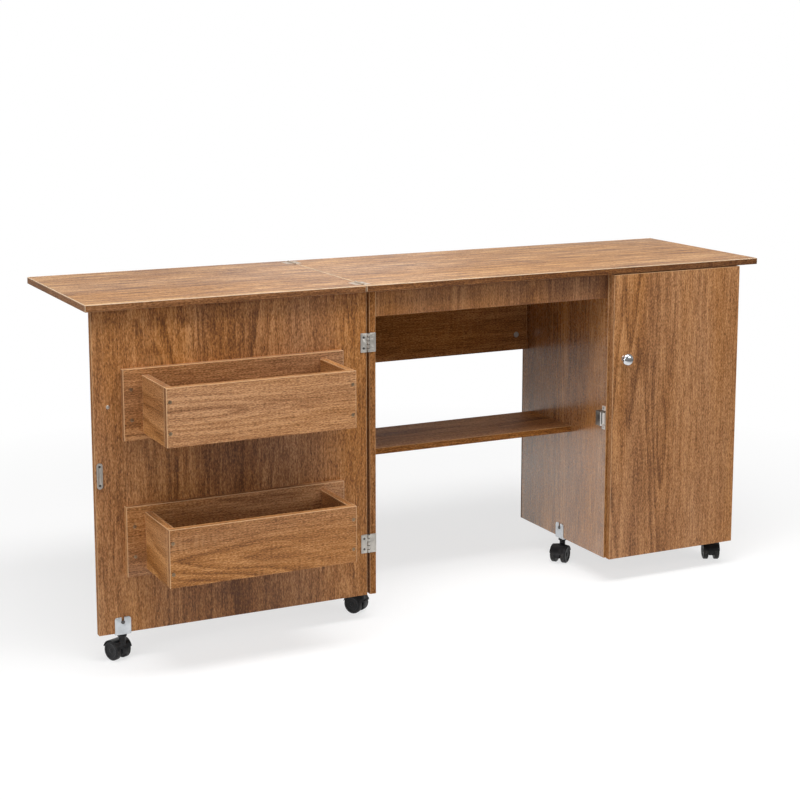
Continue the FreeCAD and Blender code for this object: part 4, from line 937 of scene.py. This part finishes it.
disc = bmesh.new()
bmesh.ops.create_circle(disc, cap_ends=True, segments=96, radius=FLOOR_REACH)
floor_white, tree, shader = surface("floor_white", specular=0.0)
where = add(tree, "ShaderNodeTexCoord").outputs["Object"]
speck = noise(tree, where, (40.0, 40.0, 40.0), (0.0, 0.0, 0.0), 2.0)
straight, seen = light_paths(tree)
paint = blend_colour(tree, speck, (0.66, 0.66, 0.66, 1.0), (0.68, 0.68, 0.68, 1.0))
tree.links.new(blend_colour(tree, seen, paint, (0.34, 0.34, 0.34, 1.0)), shader.inputs["Base Color"])
shader.inputs["Roughness"].default_value = 0.9
lift = add(tree, "ShaderNodeEmission", {"Color": WHITE, "Strength": sums(tree, "MULTIPLY", seen, 0.68)})
near = add(tree, "ShaderNodeAddShader", {0: shader.outputs[0], 1: lift.outputs[0]})
far_level = spread(tree, straight, 0.0, 1.0, 0.2, 1.0)
far = add(tree, "ShaderNodeEmission", {"Color": WHITE, "Strength": far_level})
way = add(tree, "ShaderNodeVectorMath", {0: where}, operation="LENGTH").outputs["Value"]
fade = sums(tree, "MULTIPLY", spread(tree, way, 1.0, 2.1), seen)
both = add(tree, "ShaderNodeMixShader", {0: fade, 1: near.outputs[0], 2: far.outputs[0]})
tree.links.new(both.outputs[0], tree.nodes["Material Output"].inputs["Surface"])
floor = piece_from("floor", disc, floor_white)

world = bpy.data.worlds.new("studio")
scene.world = world
world.use_nodes = True
tree = world.node_tree
straight, seen = light_paths(tree)
backdrop = tree.nodes["Background"]
backdrop.inputs["Color"].default_value = WHITE
heading = add(tree, "ShaderNodeTexCoord").outputs["Generated"]
to_back = add(tree, "ShaderNodeSeparateXYZ", {0: heading}).outputs["Y"]
mirrored = spread(tree, to_back, -0.25, 0.35, 0.3, 1.0)
shown = sums(tree, "MAXIMUM", straight, sums(tree, "MULTIPLY", seen, mirrored))
tree.links.new(sums(tree, "MAXIMUM", shown, 0.24), backdrop.inputs["Strength"])


def soft_light(name, spot, aim, width, height, power):
    """A rectangular studio lamp at a spot, turned to a point."""
    lamp = bpy.data.lights.new(name, "AREA")
    lamp.shape = "RECTANGLE"
    lamp.size, lamp.size_y, lamp.energy = width, height, power
    stand = bpy.data.objects.new(name, lamp)
    stand.matrix_world = looking(spot, Vector(aim) - Vector(spot))
    scene.collection.objects.link(stand)


soft_light("overhead", (-0.2, -1.15, 3.2), (0.0, 0.0, 0.5), 3.0, 0.9, 97.0)
soft_light("front_left", (-3.2, -2.9, 2.5), (0.0, 0.0, 0.4), 2.0, 1.6, 26.0)
soft_light("front_right", (2.4, -3.4, 2.0), (0.2, 0.0, 0.4), 1.8, 1.4, 24.0)
soft_light("back_sheen", (1.1, 2.95, 1.25), (-0.2, 0.05, 0.76), 0.9, 0.7, 2.8)
soft_light("low_left", (-4.5, -1.9, 0.45), (0.0, 0.0, 0.3), 1.2, 0.7, 42.0)

lens = bpy.data.cameras.new("camera")
lens.sensor_fit = "HORIZONTAL"
lens.sensor_width = 36.0
lens.lens = 78.79
lens.shift_y = -0.1
lens.clip_end = 60.0
camera = bpy.data.objects.new("camera", lens)
look = Vector((math.sin(CAMERA_YAW) * math.cos(CAMERA_PITCH), math.cos(CAMERA_YAW) * math.cos(CAMERA_PITCH),
               -math.sin(CAMERA_PITCH)))
camera.matrix_world = looking(CAMERA_SPOT, look)
scene.collection.objects.link(camera)
scene.camera = camera
scene.view_settings.view_transform = "Standard"

bpy.context.view_layer.update()
